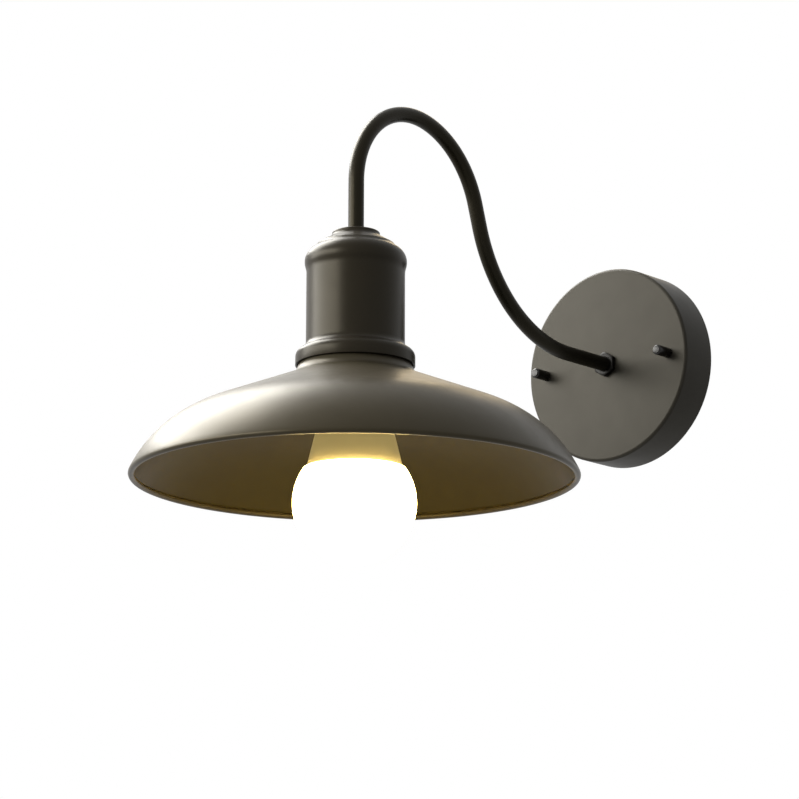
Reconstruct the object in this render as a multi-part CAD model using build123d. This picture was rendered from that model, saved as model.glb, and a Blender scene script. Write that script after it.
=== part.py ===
"""Gooseneck wall sconce: a round wall canopy, a bent tube arm, a stepped socket cup and a spun shade.

Millimetres. The wall is the plane Y = 0 and the lamp stands out of it towards -Y, with +Z up.
The origin is the centre of the canopy's open back, on the wall.
Wall-side pieces are drawn in (distance out of the wall), lamp-side pieces in (radius, height).
"""

import os
from math import atan2, cos, degrees, radians, sin, sqrt

from build123d import *

# ---------------------------------------------------------------- fits between pieces
THREAD_GAP = 0.05  # radial gap where a thread is drawn plain
HOLE_GAP = 0.25  # radial gap of a clearance hole
BULB_GAP = 0.3  # gap between the bulb and the lampholder that carries it

# ---------------------------------------------------------------- canopy
CANOPY_DIAMETER = 125.0
CANOPY_DEPTH = 27.0
CANOPY_SHEET = 1.0
CANOPY_EDGE_RADIUS = 2.0

# ---------------------------------------------------------------- wall bracket and its hardware
BRACKET_LENGTH = 112.0
BRACKET_WIDTH = 22.0
BRACKET_SHEET = 2.0
BRACKET_CORNER_RADIUS = 4.0
CABLE_HOLE_DIAMETER = 12.0
SLOT_SPACING = 70.0
SLOT_LENGTH = 16.0
SLOT_WIDTH = 4.6
STUD_SPACING = 97.0
STUD_DIAMETER = 4.0
STUD_REACH = 9.0  # how far a stud stands out of the canopy's face
STUD_NUT_FLATS = 7.0
STUD_NUT_HEIGHT = 3.2
CAP_NUT_DIAMETER = 6.4
CAP_NUT_LENGTH = 12.5
CAP_NUT_CHAMFER = 0.9

# ---------------------------------------------------------------- arm
TUBE_DIAMETER = 9.2
TUBE_WALL = 1.0
TUBE_WALL_END = 16.0  # the tube's inner end, out of the wall
FIRST_BEND_START = 66.6
FIRST_BEND_RADIUS = 90.0
RISE_ANGLE = 72.6
RISE_LENGTH = 14.5
CREST_RADIUS = 60.2
CREST_ANGLE = 11.1  # heading where the crest tightens into the drop
SHADE_REACH = 265.0  # wall to the shade's axis
ARM_NUT_FLATS = 14.0
ARM_NUT_HEIGHT = 3.0
ARM_WASHER_DIAMETER = 18.0
ARM_WASHER_SHEET = 1.0
BUSH_FLANGE = 1.0
BUSH_DEPTH = 5.0
BUSH_BORE = 5.0

# ---------------------------------------------------------------- wiring in the canopy
WIRE_DIAMETER = 2.0
WIRE_SPREAD = 2.3  # between the two wires' centres
WIRE_BEND_RADIUS = 3.0
BLOCK_LENGTH = 18.0
BLOCK_WIDTH = 17.0
BLOCK_HEIGHT = 11.5
BLOCK_CORNER_RADIUS = 1.0
BLOCK_OFFSET = 18.0  # towards -X from the canopy's centre
BLOCK_POLE_SPACING = 8.5
BLOCK_BORE_HEIGHT = 5.5
BLOCK_BORE = 3.2
CLAMP_SCREW_SPACING = 9.0
CLAMP_SCREW_DIAMETER = 3.0
CLAMP_SCREW_SINK = 1.2
FIXING_SCREW_DIAMETER = 2.8
FIXING_HEAD_DIAMETER = 5.2
FIXING_HEAD_HEIGHT = 1.8
SLOT_CUT = 0.8  # width and depth of a screwdriver slot
EARTH_SCREW_OFFSET = 16.0
EARTH_SCREW_DIAMETER = 3.8
EARTH_HEAD_DIAMETER = 7.6
EARTH_HEAD_HEIGHT = 2.4
TAG_SHEET = 0.8
TAG_MARGIN = 2.6  # ring width of an earth tag
TAG_NECK = 1.5  # from the ring to the crimp barrel
CRIMP_DIAMETER = 3.2
CRIMP_LENGTH = 5.0
EARTH_LOOP_HEIGHT = 32.0
EARTH_BEND_RADIUS = 6.0

# ---------------------------------------------------------------- shade
SHADE_DIAMETER = 258.0
SHADE_SHEET = 0.8
RIM_BEAD_RADIUS = 1.85
RIM_CURL = 265.0  # degrees that the rim is rolled through
RIM_HEIGHT = -109.6  # height of the bead's centre
SHADE_CONE_ANGLE = 21.7
SHOULDER_RADIUS = 89.4  # where the cone turns into the dome
SHOULDER_HEIGHT = -71.7
NECK_RADIUS = 32.8
NECK_FLARE_RADIUS = 10.0
NECK_TOP = -37.0
NECK_CORNER_RADIUS = 1.6

# ---------------------------------------------------------------- socket cup
CUP_SHEET = 1.0
CUP_TOP = 35.5
CUP_BOSS_RADIUS = 14.0
CUP_BOSS_EDGE = 1.0
CUP_BOSS_HEIGHT = 3.4
CUP_SLOPE_START = 16.0
CUP_SLOPE_DROP = 4.2
CUP_STEP_RADIUS = 22.6
CUP_STEP_HEIGHT = 1.2
CUP_STEP_RUN = 0.7
CUP_RIDGE_RADIUS = 25.2
CUP_RIDGE_DROP = 1.4
CUP_BEAD_RADIUS = 29.7
CUP_BEAD_HEIGHT = 17.5
CUP_BODY_RADIUS = 28.6
CUP_BODY_TOP = 10.5
FOOT_RADIUS = 34.6
FOOT_TOP = -30.5
FOOT_TURN = 68.0  # degrees that each half of the foot's S-curve turns
FOOT_BOTTOM = -44.3

# ---------------------------------------------------------------- lampholder
TUBE_LAMP_END = 4.0
HOLDER_CAP_TOP = 14.0
HOLDER_BOSS_RADIUS = 8.0
HOLDER_BOSS_BOTTOM = 6.0
HOLDER_SHOULDER = 0.0
HOLDER_RADIUS = 19.0
HOLDER_WALL = 2.5
HOLDER_SPLIT = -12.0
HOLDER_FLANGE_RADIUS = 23.5
HOLDER_FLANGE = 3.0
SKIRT_RADIUS = 19.5
SKIRT_BOTTOM = -48.0
RING_HEIGHT = 6.0
RING_FLANGE = 2.0
RING_FLANGE_RADIUS = 25.5
RING_BODY_RADIUS = 22.6
RING_NOTCHES = 12
RING_NOTCH_RADIUS = 1.6
CARRIER_RADIUS = 16.2
CARRIER_TOP = -12.6
CARRIER_BOTTOM = -19.0
SHELL_SHEET = 0.5
SHELL_BOTTOM = -45.0
SHELL_WINDOW_RADIUS = 8.0
CONTACT_SHEET = 0.5
CONTACT_WIDTH = 5.0
CONTACT_TAIL = 1.9  # the live strip beyond its screw's centre
CONTACT_TURN = 0.4  # flat strip between the screw and the bend
CONTACT_RUN = 2.6  # the bend's run towards the bulb's tip
LIVE_SCREW_OFFSET = -5.5
NEUTRAL_SCREW_OFFSET = 10.8
HOLDER_SCREW_DIAMETER = 2.6
HOLDER_SCREW_HEAD = 4.4
HOLDER_SCREW_HEAD_HEIGHT = 2.2
GRUB_SCREW_DIAMETER = 3.0
GRUB_SCREW_HEIGHT = 10.0
GRUB_SOCKET_DEPTH = 1.2

# ---------------------------------------------------------------- bulb
BULB_TOP = -23.0
BULB_CAP_RADIUS = 13.1
BULB_CAP_SHEET = 0.5
BULB_CAP_SHOULDER = -29.0
BULB_CAP_BOTTOM = -48.0
BULB_TIP_RADIUS = 4.8
BULB_TIP_HEIGHT = 1.2
BULB_TIP_GAP = 0.1  # the tip turns against the insulator
BULB_INSULATOR_RADIUS = 10.6
BULB_INSULATOR_BOTTOM = -26.8
BULB_STEM = 2.0  # the tip's stem below the insulator
HOUSING_NECK_RADIUS = 13.9
HOUSING_WAIST_RADIUS = 19.0
HOUSING_WAIST_HEIGHT = -68.0
HOUSING_SEAM_RADIUS = 27.8
HOUSING_SEAM_HEIGHT = -104.9
HOUSING_WALL = 1.6
HOUSING_SPIGOT = 8.0  # how far the housing reaches up into the screw cap
DIFFUSER_RADIUS = 35.5
DIFFUSER_HEIGHT = -124.7  # height of the globe's centre
DIFFUSER_WALL = 1.4
LED_BOARD_RADIUS = 24.0
LED_BOARD_SHEET = 1.5
LED_BOARD_HEIGHT = -101.0
LED_COUNT = 12
LED_SIZE = 3.0
LED_RING_RADIUS = 15.0
DRIVER_WIDTH = 18.0
DRIVER_LENGTH = 34.0
DRIVER_SHEET = 1.6
DRIVER_TOP = -52.0
CHOKE_SIZE = (9.0, 6.0, 10.0)
CHOKE_DROP = 6.0
CAPACITOR_RADIUS = 3.5
CAPACITOR_LENGTH = 8.0
CAPACITOR_RISE = 4.0


# ---------------------------------------------------------------- derived sizes
TUBE_RADIUS = TUBE_DIAMETER / 2
TUBE_BORE = TUBE_RADIUS - TUBE_WALL
CANOPY_INNER_FACE = CANOPY_DEPTH - CANOPY_SHEET
WASHER_BACK = CANOPY_INNER_FACE - ARM_WASHER_SHEET
TAG_BACK = WASHER_BACK - TAG_SHEET
NECK_UNDERSIDE = NECK_TOP - SHADE_SHEET
BLOCK_FRONT = BRACKET_SHEET + BLOCK_HEIGHT
BLOCK_BORE_DEPTH = BRACKET_SHEET + BLOCK_BORE_HEIGHT
SHELL_RADIUS = BULB_CAP_RADIUS + BULB_GAP
CONTACT_DIP = BULB_TOP + BULB_GAP
ARM_TAG_BORE = TUBE_RADIUS + THREAD_GAP
ARM_CRIMP_HEIGHT = WASHER_BACK - CRIMP_DIAMETER / 2
SCREW_TAG_BORE = EARTH_SCREW_DIAMETER / 2 + THREAD_GAP
SCREW_CRIMP_HEIGHT = BRACKET_SHEET + CRIMP_DIAMETER / 2
HOLDER_CAVITY_TOP = HOLDER_SHOULDER - HOLDER_WALL


def wall_axis(shape, x=0.0, z=0.0):
    """Stand a shape drawn up its own Z out of the wall, at x and z on the wall."""
    return Pos(x, 0, z) * Rot(90, 0, 0) * shape


def lamp_axis(shape):
    """Move a shape drawn round its own Z onto the shade's axis."""
    return Pos(0, -SHADE_REACH, 0) * shape


def lathe(*edges):
    """Turn a closed outline, drawn as (radius, height), round Z."""
    return revolve(Plane.XZ * make_face(edges), axis=Axis.Z)


def lathe_points(*points):
    """Turn a closed outline of straight lines, given as (radius, height) corners, round Z."""
    return lathe(Polyline(*points, close=True))


def spun_sheet(outside, sheet, side):
    """Turn an open outline round Z as sheet metal whose thickness lies on one side of it."""
    wall = offset(Wire(outside), amount=sheet, side=side, closed=True)
    return revolve(Plane.XZ * make_face(wall), axis=Axis.Z)


def beside(edge, gap):
    """The line or arc that runs beside another, on its right."""
    ends = [edge @ at + (edge % at).rotate(Axis.Z, -90) * gap for at in (0, 0.5, 1)]
    if edge.geom_type == GeomType.LINE:
        return Line(ends[0], ends[2])
    return ThreePointArc(*ends)


def rolled_sheet(outside, sheet):
    """Turn a smooth open outline round Z as sheet metal whose thickness lies on its right."""
    inside = [beside(edge, sheet) for edge in outside]
    start = Line(outside[0] @ 0, inside[0] @ 0)
    end = Line(outside[-1] @ 1, inside[-1] @ 1)
    return lathe(*outside, *inside, start, end)


def tube_between(radius, bore, low, high):
    """A plain ring from one height to another."""
    ring = Circle(radius) - Circle(bore) if bore else Circle(radius)
    return Pos(0, 0, low) * extrude(ring, amount=high - low)


def hex_nut(flats, bore, low, height):
    """A hexagon nut with its corners turned down on both faces."""
    corner = flats / sqrt(3)
    blank = extrude(RegularPolygon(corner, 6) - Circle(bore), amount=height)
    turn_down = corner - flats / 2
    rounder = chamfer(extrude(Circle(corner), amount=height).edges(), turn_down * 0.8)
    return Pos(0, 0, low) * (blank & rounder)


def slotted_screw(radius, head_radius, low, seat, head_height):
    """A screw with its shank from low to seat and a slotted, round-edged head above."""
    head = extrude(Circle(head_radius), amount=head_height)
    head = fillet(head.edges().sort_by(Axis.Z)[-1], head_height * 0.45)
    head -= Pos(0, 0, head_height) * Box(2.2 * head_radius, SLOT_CUT, 2 * SLOT_CUT)
    return Pos(0, 0, seat) * head + tube_between(radius, 0, low, seat)


# ---------------------------------------------------------------- canopy and wall hardware
def canopy():
    """Round spun pan, open towards the wall, with holes for the arm and for two studs."""
    edge = CANOPY_EDGE_RADIUS
    outer = CANOPY_DIAMETER / 2
    face = Line((TUBE_RADIUS + HOLE_GAP, CANOPY_DEPTH), (outer - edge, CANOPY_DEPTH))
    corner = JernArc(face @ 1, (1, 0), edge, -90)
    side = Line(corner @ 1, (outer, 0))
    pan = spun_sheet([face, corner, side], CANOPY_SHEET, Side.RIGHT)
    for x in (-STUD_SPACING / 2, STUD_SPACING / 2):
        pan -= Pos(x, 0, CANOPY_DEPTH) * Cylinder(STUD_DIAMETER / 2 + HOLE_GAP, 4 * CANOPY_SHEET)
    return wall_axis(pan)


def mounting_bracket():
    """Flat cross-bar that is screwed to the wall and carries the studs."""
    plate = RectangleRounded(BRACKET_LENGTH, BRACKET_WIDTH, BRACKET_CORNER_RADIUS)
    plate -= Circle(CABLE_HOLE_DIAMETER / 2)
    for sign in (-1, 1):
        plate -= Pos(sign * SLOT_SPACING / 2, 0) * SlotOverall(SLOT_LENGTH, SLOT_WIDTH)
        plate -= Pos(sign * STUD_SPACING / 2, 0) * Circle(STUD_DIAMETER / 2 + THREAD_GAP)
    plate -= Pos(EARTH_SCREW_OFFSET, 0) * Circle(EARTH_SCREW_DIAMETER / 2 + THREAD_GAP)
    plate -= Pos(-BLOCK_OFFSET, 0) * Circle(FIXING_SCREW_DIAMETER / 2 + THREAD_GAP)
    return wall_axis(extrude(plate, amount=BRACKET_SHEET))


def on_both_studs(shape):
    """Copies of a wall-side piece on the left and the right stud."""
    return [wall_axis(shape, x=sign * STUD_SPACING / 2) for sign in (-1, 1)]


def bracket_studs():
    """Two threaded studs from the bracket through the canopy's face."""
    stud = extrude(Circle(STUD_DIAMETER / 2), amount=CANOPY_DEPTH + STUD_REACH)
    stud = chamfer(stud.edges().sort_by(Axis.Z)[-1], STUD_DIAMETER * 0.12)
    return on_both_studs(stud)


def stud_lock_nuts():
    """Nuts that lock the studs on the bracket."""
    return on_both_studs(
        hex_nut(STUD_NUT_FLATS, STUD_DIAMETER / 2 + THREAD_GAP, BRACKET_SHEET, STUD_NUT_HEIGHT)
    )


def cap_nuts():
    """Slim round cap nuts, blind-bored, that hold the canopy on the studs."""
    nut = extrude(Circle(CAP_NUT_DIAMETER / 2), amount=CAP_NUT_LENGTH)
    nut = chamfer(nut.edges().sort_by(Axis.Z)[-1], CAP_NUT_CHAMFER)
    nut -= tube_between(STUD_DIAMETER / 2 + THREAD_GAP, 0, 0, STUD_REACH + HOLE_GAP)
    return on_both_studs(Pos(0, 0, CANOPY_DEPTH) * nut)


# ---------------------------------------------------------------- arm
def arm_line(side_offset=0.0):
    """The arm's centre line as tangent edges, in the upright plane at X = side_offset."""
    run = Line((TUBE_WALL_END, 0), (FIRST_BEND_START, 0))
    first_bend = JernArc(run @ 1, run % 1, FIRST_BEND_RADIUS, RISE_ANGLE)
    rise = Line(first_bend @ 1, first_bend @ 1 + (first_bend % 1) * RISE_LENGTH)
    crest = JernArc(rise @ 1, rise % 1, CREST_RADIUS, CREST_ANGLE - RISE_ANGLE)
    crest_end = crest @ 1
    drop_radius = (SHADE_REACH - crest_end.X) / (1 + sin(radians(CREST_ANGLE)))
    drop = JernArc(crest_end, crest % 1, drop_radius, -90 - CREST_ANGLE)
    fall = Line(drop @ 1, (SHADE_REACH, TUBE_LAMP_END))
    upright = Plane(origin=(side_offset, 0, 0), x_dir=(0, -1, 0), z_dir=(-1, 0, 0))
    return [upright * edge for edge in (run, first_bend, rise, crest, drop, fall)]


def arm_tube():
    """The bent steel tube, hollow from end to end."""
    line = Wire(arm_line())
    start = Plane(origin=line @ 0, z_dir=line % 0)
    return sweep(start * (Circle(TUBE_RADIUS) - Circle(TUBE_BORE)), path=line)


def arm_nut():
    """Hexagon nut on the arm, outside the canopy."""
    return wall_axis(hex_nut(ARM_NUT_FLATS, TUBE_RADIUS + THREAD_GAP, CANOPY_DEPTH, ARM_NUT_HEIGHT))


def arm_lock_washer():
    """Washer on the arm, against the inside of the canopy's face."""
    bore = TUBE_RADIUS + THREAD_GAP
    return wall_axis(tube_between(ARM_WASHER_DIAMETER / 2, bore, WASHER_BACK, CANOPY_INNER_FACE))


def arm_lock_nut():
    """Hexagon nut on the arm's threaded end, inside the canopy."""
    low = TAG_BACK - ARM_NUT_HEIGHT
    return wall_axis(hex_nut(ARM_NUT_FLATS, TUBE_RADIUS + THREAD_GAP, low, ARM_NUT_HEIGHT))


def tube_bush():
    """Insulating bush for a tube end: a flange at height 0 and a sleeve up into the bore."""
    flange = tube_between(TUBE_RADIUS, BUSH_BORE / 2, -BUSH_FLANGE, 0)
    sleeve = tube_between(TUBE_BORE - THREAD_GAP, BUSH_BORE / 2, 0, BUSH_DEPTH)
    return flange + sleeve


def tube_bushes():
    """The bushes that keep the wires off both cut ends of the tube."""
    wall_end = wall_axis(Pos(0, 0, TUBE_WALL_END) * tube_bush())
    lamp_end = lamp_axis(Pos(0, 0, TUBE_LAMP_END) * tube_bush())
    return [wall_end, lamp_end]


# ---------------------------------------------------------------- terminals and wires
def block_screw_places():
    """Places of the four clamp screws on the terminal block, as (x, z) on the wall."""
    return [
        (-BLOCK_OFFSET + along * CLAMP_SCREW_SPACING / 2, across * BLOCK_POLE_SPACING / 2)
        for along in (-1, 1)
        for across in (-1, 1)
    ]


def terminal_block():
    """Two-pole insulating block on the bracket, with a bore and two screw wells to each pole."""
    block = RectangleRounded(BLOCK_LENGTH, BLOCK_WIDTH, BLOCK_CORNER_RADIUS)
    body = Pos(-BLOCK_OFFSET, 0, BRACKET_SHEET) * extrude(block, amount=BLOCK_HEIGHT)
    well = CLAMP_SCREW_DIAMETER / 2 + HOLE_GAP
    for x, z in block_screw_places():
        body -= Pos(x, z, 0) * tube_between(well, 0, BLOCK_BORE_DEPTH, BLOCK_FRONT)
    for z in (-BLOCK_POLE_SPACING / 2, BLOCK_POLE_SPACING / 2):
        bore = Rot(0, 90, 0) * Cylinder(BLOCK_BORE / 2, BLOCK_LENGTH * 1.1)
        body -= Pos(-BLOCK_OFFSET, z, BLOCK_BORE_DEPTH) * bore
    fixing = FIXING_SCREW_DIAMETER / 2 + THREAD_GAP
    body -= Pos(-BLOCK_OFFSET, 0, 0) * tube_between(fixing, 0, 0, BLOCK_FRONT)
    return wall_axis(body)


def terminal_screws():
    """Four slotted clamp screws, one over each wire end in the block."""
    tip = BLOCK_BORE_DEPTH + WIRE_DIAMETER / 2
    top = BLOCK_FRONT - CLAMP_SCREW_SINK
    slot = Box(1.2 * CLAMP_SCREW_DIAMETER, SLOT_CUT, 2 * SLOT_CUT)
    screw = tube_between(CLAMP_SCREW_DIAMETER / 2, 0, tip, top) - Pos(0, 0, top) * slot
    return [wall_axis(screw, x=x, z=z) for x, z in block_screw_places()]


def block_fixing_screw():
    """The screw that holds the terminal block on the bracket."""
    head = FIXING_HEAD_DIAMETER / 2
    screw = slotted_screw(FIXING_SCREW_DIAMETER / 2, head, 0, BLOCK_FRONT, FIXING_HEAD_HEIGHT)
    return wall_axis(screw, x=-BLOCK_OFFSET)


def earth_screw():
    """The earthing screw in the bracket, over its ring tag."""
    seat = BRACKET_SHEET + TAG_SHEET
    head = EARTH_HEAD_DIAMETER / 2
    screw = slotted_screw(EARTH_SCREW_DIAMETER / 2, head, 0, seat, EARTH_HEAD_HEIGHT)
    return wall_axis(screw, x=EARTH_SCREW_OFFSET)


def earth_tag(bore, low, crimp_height):
    """A ring tag from height low, with its crimp barrel towards +Z on the wall."""
    ring_radius = bore + TAG_MARGIN
    crimp_start = ring_radius + TAG_NECK
    ring = Circle(ring_radius) + Pos(0, crimp_start / 2) * Rectangle(CRIMP_DIAMETER, crimp_start)
    tag = Pos(0, 0, low) * extrude(ring - Circle(bore), amount=TAG_SHEET)
    barrel = Circle(CRIMP_DIAMETER / 2) - Circle(WIRE_DIAMETER / 2 + THREAD_GAP)
    barrel = Pos(0, 0, crimp_height) * Rot(-90, 0, 0) * extrude(barrel, amount=CRIMP_LENGTH)
    return tag + Pos(0, crimp_start, 0) * barrel


def wire(path):
    """A round insulated wire along a path."""
    start = Plane(origin=path @ 0, z_dir=path % 0)
    return sweep(start * Circle(WIRE_DIAMETER / 2), path=path)


def earth_tags():
    """Ring tags under the arm's lock nut and under the earthing screw."""
    arm_tag = wall_axis(earth_tag(ARM_TAG_BORE, TAG_BACK, ARM_CRIMP_HEIGHT))
    screw_tag = earth_tag(SCREW_TAG_BORE, BRACKET_SHEET, SCREW_CRIMP_HEIGHT)
    screw_tag = wall_axis(screw_tag, x=EARTH_SCREW_OFFSET)
    return [arm_tag, screw_tag]


def earth_wire():
    """The earth wire's loop above the bracket, from the arm's tag to the screw's."""
    to_barrel = TAG_MARGIN + TAG_NECK + THREAD_GAP
    arm_start = ARM_TAG_BORE + to_barrel
    screw_start = SCREW_TAG_BORE + to_barrel
    return wire(
        FilletPolyline(
            (0, -ARM_CRIMP_HEIGHT, arm_start),
            (0, -ARM_CRIMP_HEIGHT, EARTH_LOOP_HEIGHT),
            (EARTH_SCREW_OFFSET, -SCREW_CRIMP_HEIGHT, EARTH_LOOP_HEIGHT),
            (EARTH_SCREW_OFFSET, -SCREW_CRIMP_HEIGHT, screw_start),
            radius=EARTH_BEND_RADIUS,
        )
    )


def arm_wire(side, pole, screw_offset):
    """A wire from its pole of the terminal block, through the arm, to its lampholder screw."""
    x = side * WIRE_SPREAD / 2
    depth = -BLOCK_BORE_DEPTH
    pole_height = pole * BLOCK_POLE_SPACING / 2
    block_edge = -BLOCK_OFFSET + BLOCK_LENGTH / 2
    wall_tail = FilletPolyline(
        (-BLOCK_OFFSET + CLAMP_SCREW_SPACING / 2, depth, pole_height),
        (block_edge + 2 * WIRE_DIAMETER, depth, pole_height),
        (x, depth, 0),
        (x, -TUBE_WALL_END, 0),
        radius=WIRE_BEND_RADIUS,
    )
    screw_top = CARRIER_TOP + HOLDER_SCREW_HEAD_HEIGHT + WIRE_DIAMETER
    lamp_tail = FilletPolyline(
        (x, -SHADE_REACH, TUBE_LAMP_END),
        (x, -SHADE_REACH, HOLDER_CAVITY_TOP - WIRE_DIAMETER / 4),
        (screw_offset, -SHADE_REACH, screw_top),
        radius=WIRE_BEND_RADIUS,
    )
    return wire(Wire([*wall_tail.edges(), *arm_line(x), *lamp_tail.edges()]))


# ---------------------------------------------------------------- shade
def shade():
    """The spun shade: a top disc, a flared neck, a cone, a dome and a rim rolled inwards."""
    slope = radians(SHADE_CONE_ANGLE)
    normal = (sin(slope), cos(slope))
    bead = (SHADE_DIAMETER / 2 - RIM_BEAD_RADIUS, RIM_HEIGHT)

    # The dome leaves the cone along its slope and meets the bead from outside, both tangent.
    out, down = bead[0] - SHOULDER_RADIUS, bead[1] - SHOULDER_HEIGHT
    along_normal = out * normal[0] + down * normal[1]
    dome_radius = (RIM_BEAD_RADIUS**2 - out**2 - down**2) / (2 * (along_normal + RIM_BEAD_RADIUS))
    dome_centre = (
        SHOULDER_RADIUS - dome_radius * normal[0],
        SHOULDER_HEIGHT - dome_radius * normal[1],
    )
    bead_angle = degrees(atan2(bead[1] - dome_centre[1], bead[0] - dome_centre[0]))
    dome_turn = 90 - SHADE_CONE_ANGLE - bead_angle

    # The neck's flare touches the upright neck and the cone.
    flare_centre_r = NECK_RADIUS + NECK_FLARE_RADIUS
    flare_centre_z = SHOULDER_HEIGHT + (
        NECK_FLARE_RADIUS + (SHOULDER_RADIUS - flare_centre_r) * normal[0]
    ) / normal[1]

    corner = NECK_CORNER_RADIUS
    disc = Line((SKIRT_RADIUS + HOLE_GAP, NECK_TOP), (NECK_RADIUS - corner, NECK_TOP))
    top_corner = JernArc(disc @ 1, (1, 0), corner, -90)
    neck = Line(top_corner @ 1, (NECK_RADIUS, flare_centre_z))
    flare = JernArc(neck @ 1, (0, -1), NECK_FLARE_RADIUS, 90 - SHADE_CONE_ANGLE)
    cone = Line(flare @ 1, (SHOULDER_RADIUS, SHOULDER_HEIGHT))
    dome = JernArc(cone @ 1, cone % 1, dome_radius, -dome_turn)
    curl = JernArc(dome @ 1, dome % 1, RIM_BEAD_RADIUS, -RIM_CURL)
    outside = [disc, top_corner, neck, flare, cone, dome, curl]
    return lamp_axis(rolled_sheet(outside, SHADE_SHEET))


# ---------------------------------------------------------------- socket cup
def socket_cup():
    """The stepped cup over the lampholder: boss, slope, ridge, bead, straight body and flared foot."""
    boss_bottom = CUP_TOP - CUP_BOSS_HEIGHT
    step_top = boss_bottom - CUP_SLOPE_DROP
    step_bottom = step_top - CUP_STEP_HEIGHT
    ridge = step_bottom - CUP_RIDGE_DROP
    cove = CUP_SLOPE_START - CUP_BOSS_RADIUS
    slope_angle = degrees(atan2(CUP_SLOPE_DROP, CUP_STEP_RADIUS - CUP_SLOPE_START))
    turn = radians(FOOT_TURN)
    foot_curve = (FOOT_RADIUS - CUP_BODY_RADIUS) / (2 * (1 - cos(turn)))

    top = Line((TUBE_RADIUS + HOLE_GAP, CUP_TOP), (CUP_BOSS_RADIUS - CUP_BOSS_EDGE, CUP_TOP))
    boss_edge = JernArc(top @ 1, (1, 0), CUP_BOSS_EDGE, -90)
    boss_side = Line(boss_edge @ 1, (CUP_BOSS_RADIUS, boss_bottom + cove))
    boss_cove = JernArc(boss_side @ 1, (0, -1), cove, 90 - slope_angle)
    slope = Line(boss_cove @ 1, (CUP_STEP_RADIUS, step_top))
    step = Line(slope @ 1, (CUP_STEP_RADIUS + CUP_STEP_RUN, step_bottom))
    ridge_slope = Line(step @ 1, (CUP_RIDGE_RADIUS, ridge))
    bead_top = (CUP_BEAD_RADIUS, CUP_BEAD_HEIGHT)
    shoulder = TangentArc(bead_top, ridge_slope @ 1, tangent=(0, 1))
    bead_rise = CUP_BEAD_HEIGHT - CUP_BODY_TOP
    bead_step = CUP_BEAD_RADIUS - CUP_BODY_RADIUS
    bead_radius = (bead_rise**2 + bead_step**2) / (4 * bead_step)
    bead_turn = degrees(2 * atan2(bead_step, bead_rise))
    bead = JernArc(bead_top, (0, -1), bead_radius, -bead_turn)
    blend = JernArc(bead @ 1, bead % 1, bead_radius, bead_turn)
    body = Line(blend @ 1, (CUP_BODY_RADIUS, FOOT_TOP))
    foot_cove = JernArc(body @ 1, (0, -1), foot_curve, FOOT_TURN)
    foot_round = JernArc(foot_cove @ 1, foot_cove % 1, foot_curve, -FOOT_TURN)
    foot = Line(foot_round @ 1, (FOOT_RADIUS, FOOT_BOTTOM))
    outside = [
        top, boss_edge, boss_side, boss_cove, slope, step, ridge_slope,
        shoulder, bead, blend, body, foot_cove, foot_round, foot,
    ]
    return lamp_axis(spun_sheet(outside, CUP_SHEET, Side.RIGHT))


def cup_lock_nut():
    """Hexagon nut on the tube, under the cup's top."""
    low = CUP_TOP - CUP_SHEET - ARM_NUT_HEIGHT
    return lamp_axis(hex_nut(ARM_NUT_FLATS, TUBE_RADIUS + THREAD_GAP, low, ARM_NUT_HEIGHT))


# ---------------------------------------------------------------- lampholder
def lampholder_cap():
    """Moulded upper half: a boss on the tube, a cone and a hollow cylinder."""
    inner = HOLDER_RADIUS - HOLDER_WALL
    cap = lathe_points(
        (TUBE_RADIUS + THREAD_GAP, HOLDER_CAP_TOP),
        (HOLDER_BOSS_RADIUS, HOLDER_CAP_TOP),
        (HOLDER_BOSS_RADIUS, HOLDER_BOSS_BOTTOM),
        (HOLDER_RADIUS, HOLDER_SHOULDER),
        (HOLDER_RADIUS, HOLDER_SPLIT),
        (inner, HOLDER_SPLIT),
        (inner, HOLDER_CAVITY_TOP),
        (TUBE_RADIUS + THREAD_GAP, HOLDER_CAVITY_TOP),
    )
    hole = Rot(0, 90, 0) * extrude(Circle(GRUB_SCREW_DIAMETER / 2 + THREAD_GAP), amount=HOLDER_RADIUS)
    return lamp_axis(cap - Pos(0, 0, GRUB_SCREW_HEIGHT) * hole)


def grub_screw():
    """The grub screw that locks the holder's boss on the tube."""
    length = HOLDER_BOSS_RADIUS - TUBE_RADIUS - THREAD_GAP
    screw = Rot(0, 90, 0) * extrude(Circle(GRUB_SCREW_DIAMETER / 2), amount=length)
    hexagon = RegularPolygon(GRUB_SCREW_DIAMETER / 4, 6)
    socket = Rot(0, 90, 0) * extrude(hexagon, amount=GRUB_SOCKET_DEPTH)
    screw -= Pos(length - GRUB_SOCKET_DEPTH, 0, 0) * socket
    return lamp_axis(Pos(TUBE_RADIUS + THREAD_GAP, 0, GRUB_SCREW_HEIGHT) * screw)


def lampholder_body():
    """Moulded lower half: a barrel, a flange on the shade's disc and a skirt through its hole."""
    flange_top = NECK_TOP + HOLDER_FLANGE
    shell_outer = SHELL_RADIUS + SHELL_SHEET
    ledge = CARRIER_BOTTOM - HOLDER_WALL
    return lamp_axis(
        lathe_points(
            (CARRIER_RADIUS + HOLE_GAP, HOLDER_SPLIT),
            (HOLDER_RADIUS, HOLDER_SPLIT),
            (HOLDER_RADIUS, flange_top),
            (HOLDER_FLANGE_RADIUS, flange_top),
            (HOLDER_FLANGE_RADIUS, NECK_TOP),
            (SKIRT_RADIUS, NECK_TOP),
            (SKIRT_RADIUS, SKIRT_BOTTOM),
            (shell_outer + 2 * HOLE_GAP, SKIRT_BOTTOM),
            (shell_outer + 2 * HOLE_GAP, ledge),
            (shell_outer + HOLE_GAP, ledge),
            (shell_outer + HOLE_GAP, CARRIER_BOTTOM),
            (CARRIER_RADIUS + HOLE_GAP, CARRIER_BOTTOM),
        )
    )


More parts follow.
